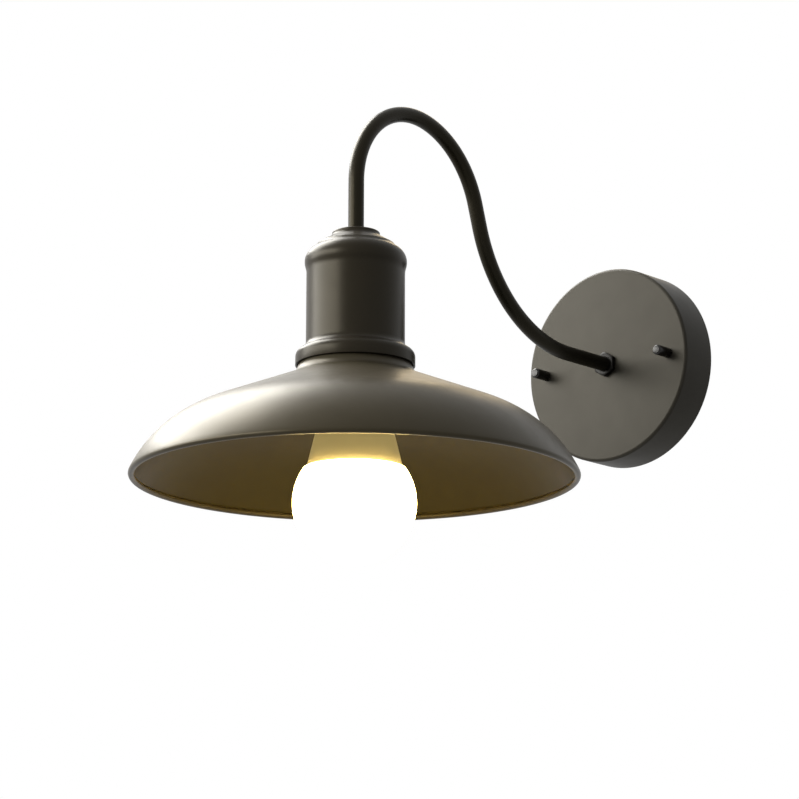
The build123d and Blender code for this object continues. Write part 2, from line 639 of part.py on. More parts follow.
def shade_ring():
    """The notched ring nut on the skirt that clamps the shade's disc against the flange."""
    bore = SKIRT_RADIUS + THREAD_GAP
    flange_bottom = NECK_UNDERSIDE - RING_FLANGE
    bottom = NECK_UNDERSIDE - RING_HEIGHT
    ring = lathe_points(
        (bore, NECK_UNDERSIDE),
        (RING_FLANGE_RADIUS, NECK_UNDERSIDE),
        (RING_FLANGE_RADIUS, flange_bottom),
        (RING_BODY_RADIUS, flange_bottom),
        (RING_BODY_RADIUS, bottom),
        (bore, bottom),
    )
    notch = tube_between(RING_NOTCH_RADIUS, 0, bottom, NECK_UNDERSIDE)
    for place in PolarLocations(RING_FLANGE_RADIUS, RING_NOTCHES):
        ring -= place * notch
    return lamp_axis(ring)


def contact_carrier():
    """Ceramic disc in the lampholder that carries the contacts, with its two screw holes."""
    disc = tube_between(CARRIER_RADIUS, 0, CARRIER_BOTTOM, CARRIER_TOP)
    hole = HOLDER_SCREW_DIAMETER / 2 + THREAD_GAP
    for x in (LIVE_SCREW_OFFSET, NEUTRAL_SCREW_OFFSET):
        disc -= Pos(x, 0, 0) * tube_between(hole, 0, CARRIER_BOTTOM, CARRIER_TOP)
    return lamp_axis(disc)


def holder_screws():
    """The live and neutral screws, down through the carrier into the contacts under it."""
    low = CARRIER_BOTTOM - CONTACT_SHEET
    screw = slotted_screw(
        HOLDER_SCREW_DIAMETER / 2, HOLDER_SCREW_HEAD / 2, low, CARRIER_TOP, HOLDER_SCREW_HEAD_HEIGHT
    )
    return [lamp_axis(Pos(x, 0, 0) * screw) for x in (LIVE_SCREW_OFFSET, NEUTRAL_SCREW_OFFSET)]


def screw_shell():
    """The lampholder's brass shell: a sleeve with a windowed top under the carrier."""
    outer = SHELL_RADIUS + SHELL_SHEET
    under_top = CARRIER_BOTTOM - SHELL_SHEET
    shell = lathe_points(
        (SHELL_WINDOW_RADIUS, CARRIER_BOTTOM),
        (outer, CARRIER_BOTTOM),
        (outer, SHELL_BOTTOM),
        (SHELL_RADIUS, SHELL_BOTTOM),
        (SHELL_RADIUS, under_top),
        (SHELL_WINDOW_RADIUS, under_top),
    )
    hole = HOLDER_SCREW_DIAMETER / 2 + THREAD_GAP
    return lamp_axis(shell - Pos(NEUTRAL_SCREW_OFFSET, 0, 0) * tube_between(hole, 0, under_top, 0))


def centre_contact():
    """Sprung live strip: flat under the carrier, then dipping to the bulb's tip."""
    sheet = CONTACT_SHEET
    tail = LIVE_SCREW_OFFSET - CONTACT_TAIL
    seat_end = LIVE_SCREW_OFFSET + HOLDER_SCREW_DIAMETER / 2 + CONTACT_TURN
    dip_start = seat_end + CONTACT_RUN
    strip = make_face(
        Polyline(
            (tail, CARRIER_BOTTOM),
            (seat_end, CARRIER_BOTTOM),
            (dip_start, CONTACT_DIP + sheet),
            (BULB_TIP_RADIUS * 0.6, CONTACT_DIP + sheet),
            (BULB_TIP_RADIUS * 0.6, CONTACT_DIP),
            (dip_start - sheet / 2, CONTACT_DIP),
            (seat_end - sheet / 2, CARRIER_BOTTOM - sheet),
            (tail, CARRIER_BOTTOM - sheet),
            close=True,
        )
    )
    leaf = extrude(Plane.XZ * strip, amount=CONTACT_WIDTH / 2, both=True)
    hole = HOLDER_SCREW_DIAMETER / 2 + THREAD_GAP
    return lamp_axis(leaf - Pos(LIVE_SCREW_OFFSET, 0, 0) * tube_between(hole, 0, CONTACT_DIP, 0))


# ---------------------------------------------------------------- bulb
def bulb_screw_cap():
    """The bulb's metal screw cap: a shoulder round the insulator and a sleeve on the housing."""
    inner = BULB_CAP_RADIUS - BULB_CAP_SHEET
    return lamp_axis(
        lathe_points(
            (BULB_INSULATOR_RADIUS, BULB_INSULATOR_BOTTOM),
            (BULB_CAP_RADIUS, BULB_CAP_SHOULDER),
            (BULB_CAP_RADIUS, BULB_CAP_BOTTOM),
            (inner, BULB_CAP_BOTTOM),
            (inner, BULB_CAP_SHOULDER - BULB_CAP_SHEET / 2),
            (BULB_INSULATOR_RADIUS, BULB_INSULATOR_BOTTOM - BULB_CAP_SHEET),
        )
    )


def bulb_insulator():
    """Glass insulator between the bulb's tip contact and its screw cap."""
    seat = BULB_TOP - BULB_TIP_HEIGHT
    return lamp_axis(
        lathe_points(
            (BULB_TIP_RADIUS / 3, seat),
            (BULB_TIP_RADIUS + 0.4, seat),
            (BULB_INSULATOR_RADIUS, BULB_INSULATOR_BOTTOM),
            (BULB_INSULATOR_RADIUS, BULB_INSULATOR_BOTTOM - BULB_CAP_SHEET),
            (BULB_TIP_RADIUS / 3, BULB_INSULATOR_BOTTOM - BULB_CAP_SHEET),
        )
    )


def bulb_contact():
    """The bulb's tip contact: a rounded button with a stem through the insulator."""
    seat = BULB_TOP - BULB_TIP_HEIGHT + BULB_TIP_GAP
    button = tube_between(BULB_TIP_RADIUS, 0, seat, BULB_TOP)
    button = fillet(button.edges().sort_by(Axis.Z)[-1], BULB_TIP_HEIGHT * 0.7)
    stem = tube_between(BULB_TIP_RADIUS / 3 - BULB_TIP_GAP, 0, BULB_INSULATOR_BOTTOM - BULB_STEM, seat)
    return lamp_axis(button + stem)


def bulb_housing():
    """Hollow housing that flares from the screw cap to the globe, with a spigot in the cap."""
    spigot = BULB_CAP_RADIUS - BULB_CAP_SHEET - THREAD_GAP
    spigot_top = BULB_CAP_BOTTOM + HOUSING_SPIGOT
    neck = (HOUSING_NECK_RADIUS, BULB_CAP_BOTTOM)
    waist = (HOUSING_WAIST_RADIUS, HOUSING_WAIST_HEIGHT)
    seam = (HOUSING_SEAM_RADIUS, HOUSING_SEAM_HEIGHT)
    wall = HOUSING_WALL
    outside = ThreePointArc(neck, waist, seam)
    inner_neck = (spigot - wall, BULB_CAP_BOTTOM)
    inner_waist = (HOUSING_WAIST_RADIUS - 2 * wall, HOUSING_WAIST_HEIGHT)
    inside = ThreePointArc((LED_BOARD_RADIUS - wall, LED_BOARD_HEIGHT), inner_waist, inner_neck)
    outline = [
        Polyline((spigot - wall, spigot_top), (spigot, spigot_top), (spigot, BULB_CAP_BOTTOM), neck),
        outside,
        Polyline(
            seam,
            (LED_BOARD_RADIUS + HOLE_GAP, HOUSING_SEAM_HEIGHT),
            (LED_BOARD_RADIUS + HOLE_GAP, LED_BOARD_HEIGHT),
            (LED_BOARD_RADIUS - wall, LED_BOARD_HEIGHT),
        ),
        inside,
        Line(inner_neck, (spigot - wall, spigot_top)),
    ]
    return lamp_axis(lathe(*outline))


def led_board():
    """Round board on the housing's ledge, with its ring of lamp chips."""
    board = tube_between(LED_BOARD_RADIUS, 0, LED_BOARD_HEIGHT - LED_BOARD_SHEET, LED_BOARD_HEIGHT)
    chip = Box(LED_SIZE, LED_SIZE, LED_SIZE / 4, align=(Align.CENTER, Align.CENTER, Align.MAX))
    for place in PolarLocations(LED_RING_RADIUS, LED_COUNT):
        board += Pos(0, 0, LED_BOARD_HEIGHT - LED_BOARD_SHEET) * place * chip
    return lamp_axis(board)


def driver_board():
    """The driver inside the housing: an upright board with a choke and a capacitor."""
    middle = DRIVER_TOP - DRIVER_LENGTH / 2
    board = Pos(0, 0, middle) * Box(DRIVER_WIDTH, DRIVER_SHEET, DRIVER_LENGTH)
    face = DRIVER_SHEET / 2
    bottom = DRIVER_TOP - DRIVER_LENGTH
    choke = Pos(0, face + CHOKE_SIZE[1] / 2, middle - CHOKE_DROP) * Box(*CHOKE_SIZE)
    can = extrude(Circle(CAPACITOR_RADIUS), amount=CAPACITOR_LENGTH)
    capacitor = Pos(0, -face, middle + CAPACITOR_RISE) * Rot(90, 0, 0) * can
    tab = Box(DRIVER_WIDTH / 3, DRIVER_SHEET, bottom - LED_BOARD_HEIGHT)
    tab = Pos(0, 0, (bottom + LED_BOARD_HEIGHT) / 2) * tab
    return lamp_axis(board + choke + capacitor + tab)


def bulb_diffuser():
    """The frosted globe: most of a sphere, cut flat where it meets the housing."""
    cut = HOUSING_SEAM_HEIGHT - DIFFUSER_HEIGHT
    inner = DIFFUSER_RADIUS - DIFFUSER_WALL
    globe = Sphere(DIFFUSER_RADIUS) - Sphere(inner)
    above = Pos(0, 0, cut) * Cylinder(
        2 * DIFFUSER_RADIUS, DIFFUSER_RADIUS, align=(Align.CENTER, Align.CENTER, Align.MIN)
    )
    return lamp_axis(Pos(0, 0, DIFFUSER_HEIGHT) * (globe - above))


PARTS = {
    "canopy": canopy,
    "mounting_bracket": mounting_bracket,
    "bracket_studs": bracket_studs,
    "stud_lock_nuts": stud_lock_nuts,
    "cap_nuts": cap_nuts,
    "arm_tube": arm_tube,
    "arm_nut": arm_nut,
    "arm_lock_washer": arm_lock_washer,
    "arm_lock_nut": arm_lock_nut,
    "tube_bushes": tube_bushes,
    "terminal_block": terminal_block,
    "terminal_screws": terminal_screws,
    "block_fixing_screw": block_fixing_screw,
    "earth_screw": earth_screw,
    "earth_tags": earth_tags,
    "earth_wire": earth_wire,
    "live_wire": lambda: arm_wire(-1, 1, LIVE_SCREW_OFFSET),
    "neutral_wire": lambda: arm_wire(1, -1, NEUTRAL_SCREW_OFFSET),
    "socket_cup": socket_cup,
    "cup_lock_nut": cup_lock_nut,
    "lampholder_cap": lampholder_cap,
    "grub_screw": grub_screw,
    "lampholder_body": lampholder_body,
    "shade_ring": shade_ring,
    "contact_carrier": contact_carrier,
    "holder_screws": holder_screws,
    "screw_shell": screw_shell,
    "centre_contact": centre_contact,
    "shade": shade,
    "bulb_screw_cap": bulb_screw_cap,
    "bulb_insulator": bulb_insulator,
    "bulb_contact": bulb_contact,
    "bulb_housing": bulb_housing,
    "led_board": led_board,
    "driver_board": driver_board,
    "bulb_diffuser": bulb_diffuser,
}


def main():
    """Write every sub-part to its own file."""
    os.makedirs("parts", exist_ok=True)
    for name, make in PARTS.items():
        made = make()
        pieces = made if isinstance(made, list) else [made]
        solids = [solid for piece in pieces for solid in piece.solids()]
        whole = solids[0] if len(solids) == 1 else Compound(children=solids)
        export_step(whole, f"parts/{name}.step")
        print(name, len(solids), round(sum(solid.volume for solid in solids), 1))


main()
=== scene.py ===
"""Looks of a gooseneck wall sconce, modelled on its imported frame.

Metres throughout. The wall is the plane Y = 0, the lamp stands out of it towards -Y and +Z is up.
Sizes are written in millimetres in the classes' fields and scaled by MM where a mesh is made.
"""

from __future__ import annotations

import logging
from dataclasses import dataclass
from enum import Enum
from math import atan2, cos, degrees, pi, radians, sin, sqrt
from typing import Callable, Sequence

import bpy
from mathutils import Matrix, Vector


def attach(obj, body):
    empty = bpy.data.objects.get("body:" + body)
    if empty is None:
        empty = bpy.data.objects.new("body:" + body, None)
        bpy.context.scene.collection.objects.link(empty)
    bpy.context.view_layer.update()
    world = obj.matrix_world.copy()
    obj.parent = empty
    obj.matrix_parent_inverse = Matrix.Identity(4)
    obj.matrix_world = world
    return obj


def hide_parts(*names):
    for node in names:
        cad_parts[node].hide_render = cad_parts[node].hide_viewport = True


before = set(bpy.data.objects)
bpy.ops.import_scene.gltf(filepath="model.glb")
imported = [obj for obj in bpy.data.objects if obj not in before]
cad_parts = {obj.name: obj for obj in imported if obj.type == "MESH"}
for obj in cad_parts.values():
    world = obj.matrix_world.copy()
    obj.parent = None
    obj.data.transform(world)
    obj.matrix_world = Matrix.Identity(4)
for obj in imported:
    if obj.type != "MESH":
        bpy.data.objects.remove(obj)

MM = 0.001
# Metres within which vertices are one; a drill longer than any wall is thick.
MERGE_REACH = 1e-6
DRILL_LENGTH = 6.0
DRILL_SIDES = 32
LOG = logging.getLogger("sconce")
Piece = bpy.types.Object
Socket = bpy.types.NodeSocket
Pair = tuple[float, float]
Triple = tuple[float, float, float]


class Body(str, Enum):
    """The rigid bodies that pieces ride on."""

    FIXTURE = "fixture"
    BULB = "bulb"


# ---------------------------------------- modelling
@dataclass(frozen=True)
class DrawingPlane:
    """A plane to draw on: `across` and `along` are unit directions from `origin`."""

    origin: Vector
    across: Vector
    along: Vector

    def at(self, across: float, along: float) -> Vector:
        """Point in metres for a place on the plane in millimetres.

        Args:
            across: Distance along the plane's first direction.
            along: Distance along the plane's second direction.

        Returns:
            The point in metres in the object's frame.
        """
        return self.origin + (self.across * across + self.along * along) * MM

    @property
    def normal(self) -> Vector:
        """The direction about which a positive turn goes from `across` to `along`."""
        return self.across.cross(self.along)


REACH = 265.0
WALL_PLANE = DrawingPlane(Vector((0, 0, 0)), Vector((1, 0, 0)), Vector((0, -1, 0)))
ARM_PLANE = DrawingPlane(Vector((0, 0, 0)), Vector((0, -1, 0)), Vector((0, 0, 1)))
LAMP_PLANE = DrawingPlane(Vector((0, -REACH * MM, 0)), Vector((1, 0, 0)), Vector((0, 0, 1)))


class Bench:
    """The work bench: keeps modes and selection in order round each operator."""

    @staticmethod
    def clear() -> None:
        """Leave edit mode and deselect everything."""
        if bpy.context.object and bpy.context.object.mode != "OBJECT":
            bpy.ops.object.mode_set(mode="OBJECT")
        bpy.ops.object.select_all(action="DESELECT")

    @staticmethod
    def pick(piece: Piece) -> None:
        """Make a piece the only selected and the active object.

        Args:
            piece: The object to work on.
        """
        Bench.clear()
        piece.select_set(True)
        bpy.context.view_layer.objects.active = piece

    @staticmethod
    def name_new(name: str) -> Piece:
        """Name the primitive that was just added.

        Args:
            name: The name for the object and its mesh.

        Returns:
            The new object.
        """
        piece = bpy.context.object
        piece.name = name
        piece.data.name = name
        return piece

    @staticmethod
    def apply(piece: Piece, kind: str, **settings: object) -> None:
        """Add a modifier with its settings and apply it at once.

        Args:
            piece: The object that gets it.
            kind: Blender's modifier type.
            **settings: Its properties.
        """
        Bench.pick(piece)
        modifier = piece.modifiers.new(kind.lower(), kind)
        for key, value in settings.items():
            setattr(modifier, key, value)
        bpy.ops.object.modifier_apply(modifier=modifier.name)

    @staticmethod
    def enter(piece: Piece) -> None:
        """Enter edit mode with everything selected.

        Args:
            piece: The object to edit.
        """
        Bench.pick(piece)
        bpy.ops.object.mode_set(mode="EDIT")
        bpy.ops.mesh.select_mode(type="VERT")
        bpy.ops.mesh.select_all(action="SELECT")

    @staticmethod
    def clean(piece: Piece) -> None:
        """Merge doubled vertices and point all faces outwards.

        Args:
            piece: The object to clean.
        """
        Bench.enter(piece)
        bpy.ops.mesh.remove_doubles(threshold=MERGE_REACH)
        bpy.ops.mesh.normals_make_consistent(inside=False)
        bpy.ops.object.mode_set(mode="OBJECT")

    @staticmethod
    def shift(piece: Piece, offset: Vector) -> None:
        """Move a piece's mesh and leave its origin where it is.

        Args:
            piece: The object.
            offset: How far to move it, in metres.
        """
        Bench.enter(piece)
        bpy.ops.transform.translate(value=offset)
        bpy.ops.object.mode_set(mode="OBJECT")

    @staticmethod
    def bevel(piece: Piece, width: float, angle: float = 40) -> None:
        """Round the sharp edges of a piece.

        Args:
            piece: The object to bevel.
            width: Width of the bevel in millimetres.
            angle: Edges sharper than this many degrees are rounded.
        """
        Bench.apply(
            piece, "BEVEL", width=width * MM, segments=2, limit_method="ANGLE",
            angle_limit=radians(angle), harden_normals=False,
        )

    @staticmethod
    def cut(piece: Piece, tool: Piece, operation: str = "DIFFERENCE") -> None:
        """Cut a piece with another one, which is used up.

        Args:
            piece: The object that stays.
            tool: The object that is taken away, or met.
            operation: DIFFERENCE, INTERSECT or UNION.
        """
        Bench.apply(piece, "BOOLEAN", object=tool, operation=operation, solver="EXACT")
        bpy.data.objects.remove(tool, do_unlink=True)

    @staticmethod
    def drill(piece: Piece, place: Vector, radius: float, lean: float = 0.0) -> None:
        """Drill a round hole through a wall.

        Args:
            piece: The object that gets the hole.
            place: Middle of the hole, in metres.
            radius: Its radius in millimetres.
            lean: Turn of the drill about X, in radians from upright.
        """
        Bench.clear()
        bpy.ops.mesh.primitive_cylinder_add(
            vertices=DRILL_SIDES, radius=radius * MM, depth=DRILL_LENGTH * MM,
            location=place, rotation=(lean, 0, 0),
        )
        Bench.cut(piece, Bench.name_new("drill"))

    @staticmethod
    def copy_by(piece: Piece, offset: Vector) -> Piece:
        """Copy a piece with its own mesh, moved by an offset.

        Args:
            piece: The object to copy.
            offset: How far the copy stands from it, in metres.

        Returns:
            The copy.
        """
        Bench.pick(piece)
        bpy.ops.object.duplicate(linked=False)
        twin = bpy.context.object
        Bench.shift(twin, offset)
        return twin


class Pen:
    """Draws edges on a plane by extrude and spin, or sweeps what is selected along its way."""

    def __init__(self, plane: DrawingPlane, across: float, along: float) -> None:
        """Set the pen down, facing along the plane's first direction.

        Args:
            plane: The plane it draws on.
            across: Start on the plane's first direction, in millimetres.
            along: Start on its second direction.
        """
        self.plane = plane
        self.place = Vector((across, along))
        self.heading = 0.0

    def start_line(self, name: str) -> Piece:
        """Put down a single vertex to draw an outline from.

        Args:
            name: The name of the new object.

        Returns:
            The object, in edit mode.
        """
        Bench.clear()
        bpy.ops.mesh.primitive_plane_add(size=MM)
        piece = Bench.name_new(name)
        bpy.ops.object.mode_set(mode="EDIT")
        bpy.ops.mesh.merge(type="CENTER")
        bpy.ops.transform.translate(value=self.plane.at(*self.place))
        return piece

    def line_to(self, across: float, along: float) -> None:
        """Draw a straight edge to a place and head that way.

        Args:
            across: End on the plane's first direction.
            along: End on its second direction.
        """
        target = Vector((across, along))
        step = target - self.place
        move = self.plane.at(*target) - self.plane.at(*self.place)
        bpy.ops.mesh.extrude_region_move(TRANSFORM_OT_translate={"value": move})
        self.heading = degrees(atan2(step.y, step.x))
        self.place = target

    def ahead(self, length: float) -> None:
        """Draw a straight edge in the direction of travel.

        Args:
            length: Its length in millimetres.
        """
        turn = radians(self.heading)
        self.line_to(self.place.x + length * cos(turn), self.place.y + length * sin(turn))

    def bend(self, radius: float, turn: float, chord: float = 5.0) -> None:
        """Draw an arc that leaves in the direction of travel.

        Args:
            radius: Radius in millimetres.
            turn: Degrees to turn through, positive to the left.
            chord: Degrees of arc to one edge, at most.
        """
        side = 1 if turn > 0 else -1
        facing = radians(self.heading)
        centre = self.place + Vector((-sin(facing), cos(facing))) * radius * side
        bpy.ops.mesh.spin(
            steps=max(1, round(abs(turn) / chord)), angle=-radians(turn),
            center=self.plane.at(*centre), axis=self.plane.normal,
        )
        arm = self.place - centre
        arm.rotate(Matrix.Rotation(radians(turn), 2))
        self.place = centre + arm
        self.heading += turn

    def aim(self, heading: float) -> None:
        """Face another way, in degrees from the first direction, without drawing."""
        self.heading = heading

    def through(self, middle: Vector, last: Vector) -> None:
        """Draw an arc from where the pen is through two more points.

        Args:
            middle: A point on the way.
            last: The arc's end.
        """
        first = self.place.copy()
        a, b = middle - first, last - first
        cross = a.x * b.y - a.y * b.x
        lengths = a.length_squared, b.length_squared
        centre = first + Vector(
            (b.y * lengths[0] - a.y * lengths[1], a.x * lengths[1] - b.x * lengths[0])
        ) / (2 * cross)
        spoke, final = first - centre, last - centre
        turn = degrees(atan2(spoke.x * final.y - spoke.y * final.x, spoke.dot(final)))
        self.aim(degrees(atan2(spoke.y, spoke.x)) + (90 if turn > 0 else -90))
        self.bend(spoke.length, turn, chord=1.5)


def turned(
    name: str, plane: DrawingPlane, start: Pair, draw: Callable[[Pen], None],
    wall: float = 0.0, steps: int = 96,
) -> Piece:
    """Draw an outline beside an axis and spin it all the way round.

    Args:
        name: The name of the piece.
        plane: Its first direction is the radius and its second one the axis.
        start: First point of the outline, as radius and height.
        draw: Draws the rest of it with the pen.
        wall: Sheet thickness laid inside the outline, or 0 where the outline is closed. Its inner
            faces get the second material slot.
        steps: Number of facets round the axis.

    Returns:
        The turned piece.
    """
    pen = Pen(plane, *start)
    piece = pen.start_line(name)
    draw(pen)
    bpy.ops.mesh.select_all(action="SELECT")
    bpy.ops.mesh.spin(steps=steps, angle=2 * pi, center=plane.origin, axis=plane.along)
    bpy.ops.object.mode_set(mode="OBJECT")
    Bench.clean(piece)
    if wall:
        for _ in ("outside", "inside"):
            piece.data.materials.append(None)
        Bench.apply(
            piece, "SOLIDIFY", thickness=wall * MM, offset=-1, use_even_offset=True,
            material_offset=1,
        )
    return piece


def turned_solid(
    name: str, plane: DrawingPlane, outline: Sequence[Pair], steps: int = 64
) -> Piece:
    """Turn a closed outline of straight lines.

    Args:
        name: The name of the piece.
        plane: Its first direction is the radius and its second one the axis.
        outline: Corners as radius and height; the last one is joined to the first.
        steps: Number of facets round the axis.

    Returns:
        The turned piece.
    """

    def draw(pen: Pen) -> None:
        """Go round the corners and back to the first."""
        for corner in (*outline[1:], outline[0]):
            pen.line_to(*corner)

    return turned(name, plane, outline[0], draw, steps=steps)


# A hexagon nut's faces: shares of the overhang and of the flats, and how far the blank clears.
CORNER_DROP = 0.62
FACE_SHARE = 0.97
PAST_CORNER = 0.1


def hexagon_nut(
    name: str, plane: DrawingPlane, flats: float, bore: float, low: float, height: float
) -> Piece:
    """A hexagon nut with turned-down corners on both faces.

    Args:
        name: The name of the piece.
        plane: Its second direction is the nut's axis.
        flats: Width across flats in millimetres.
        bore: Radius of the bore.
        low: Height of its lower face.
        height: Its thickness.

    Returns:
        The nut.
    """
    corner = flats / sqrt(3)
    Bench.clear()
    bpy.ops.mesh.primitive_cylinder_add(vertices=6, radius=corner * MM, depth=height * MM)
    nut = Bench.name_new(name)
    stand = Matrix((plane.across, plane.across.cross(plane.along) * -1, plane.along)).transposed()
    nut.matrix_world = Matrix.Translation(plane.at(0, low + height / 2)) @ stand.to_4x4()
    bpy.ops.object.transform_apply(location=True, rotation=True, scale=True)
    drop = (corner - flats / 2) * CORNER_DROP
    face, outside, top = flats / 2 * FACE_SHARE, corner + PAST_CORNER, low + height
    blank = turned_solid(
        "blank", plane,
        [
            (bore, low), (face, low), (outside, low + drop),
            (outside, top - drop), (face, top), (bore, top),
        ],
        steps=72,
    )
    Bench.cut(nut, blank, "INTERSECT")
    Bench.clean(nut)
    return nut


ROPE_SIDES = 14
STEPS_A_TURN = 80


def helical_rope(
    plane: DrawingPlane, distance: float, radius: float, low: float, high: float, pitch: float
) -> Piece:
    """A round rope wound about an axis, to cut a rounded thread with.

    Args:
        plane: Its second direction is the axis.
        distance: Distance of the rope's middle from the axis, in millimetres.
        radius: Radius of the rope.
        low: Height where it starts.
        high: Height where it ends.
        pitch: Rise in one turn.

    Returns:
        The rope with closed ends.
    """
    turns = (high - low) / pitch
    Bench.clear()
    bpy.ops.mesh.primitive_circle_add(
        vertices=ROPE_SIDES, radius=radius * MM, location=plane.origin, rotation=(pi / 2, 0, 0)
    )
    rope = Bench.name_new("rope")
    bpy.ops.object.transform_apply(location=False, rotation=True, scale=True)
    Bench.shift(rope, plane.at(distance, low) - plane.origin)
    steps = round(STEPS_A_TURN * turns)
    Bench.apply(
        rope, "SCREW", axis="Z", angle=2 * pi * turns, screw_offset=pitch * turns * MM,
        iterations=1, steps=steps, render_steps=steps,
    )
    Bench.enter(rope)
    bpy.ops.mesh.fill_holes(sides=0)
    bpy.ops.mesh.normals_make_consistent(inside=False)
    bpy.ops.object.mode_set(mode="OBJECT")
    return rope


# ---------------------------------------- materials
class Nodes:
    """Writes one node tree: a material's or a group's."""

    def __init__(self, tree: bpy.types.NodeTree) -> None:
        """Take over a tree and empty it."""
        self.tree = tree
        tree.nodes.clear()

    def add(self, kind: str, **values: object) -> bpy.types.Node:
        """Add a node.

        Args:
            kind: Node type without the ShaderNode prefix, or NodeGroupInput and NodeGroupOutput.
            **values: Properties, or what feeds its inputs, with underscores for spaces.

        Returns:
            The node.
        """
        node = self.tree.nodes.new(kind if kind.startswith("NodeGroup") else f"ShaderNode{kind}")
        for key, value in values.items():
            if hasattr(node, key):
                setattr(node, key, value)
            else:
                self.feed(node.inputs[key.replace("_", " ")], value)
        return node

    def feed(self, target: Socket, value: object) -> None:
        """Link another socket to an input, or give the input a value.

        Args:
            target: The input.
            value: The socket or the value.
        """
        if isinstance(value, Socket):
            self.tree.links.new(value, target)
        else:
            target.default_value = value

    def math(self, operation: str, first: object, second: object = 0.0) -> Socket:
        """Add a Math node fed by sockets or numbers.

        Args:
            operation: Math operation.
            first: Socket or number.
            second: Socket or number.

        Returns:
            The result's socket.
        """
        node = self.add("Math", operation=operation)
        for target, value in zip(node.inputs, (first, second)):
            self.feed(target, value)
        return node.outputs[0]

    def mix(self, *sources: Socket) -> Socket:
        """Mix two shaders.

        Args:
            *sources: The factor and the two shaders.

        Returns:
            The mixture's socket.
        """
        node = self.add("MixShader")
        for target, source in zip(node.inputs, sources):
            self.feed(target, source)
        return node.outputs[0]


# Gloss varies this much finer than colour; rings also follow this share of the height.
SMEAR_SCALE = 3.7
RING_RISE = 0.8


class Effect(str, Enum):
    """Shared node groups."""

    FINISH = "finish_variation"
    SPUN = "spun_rings"
    GRAIN = "fine_grain"
    DUST = "settled_dust"


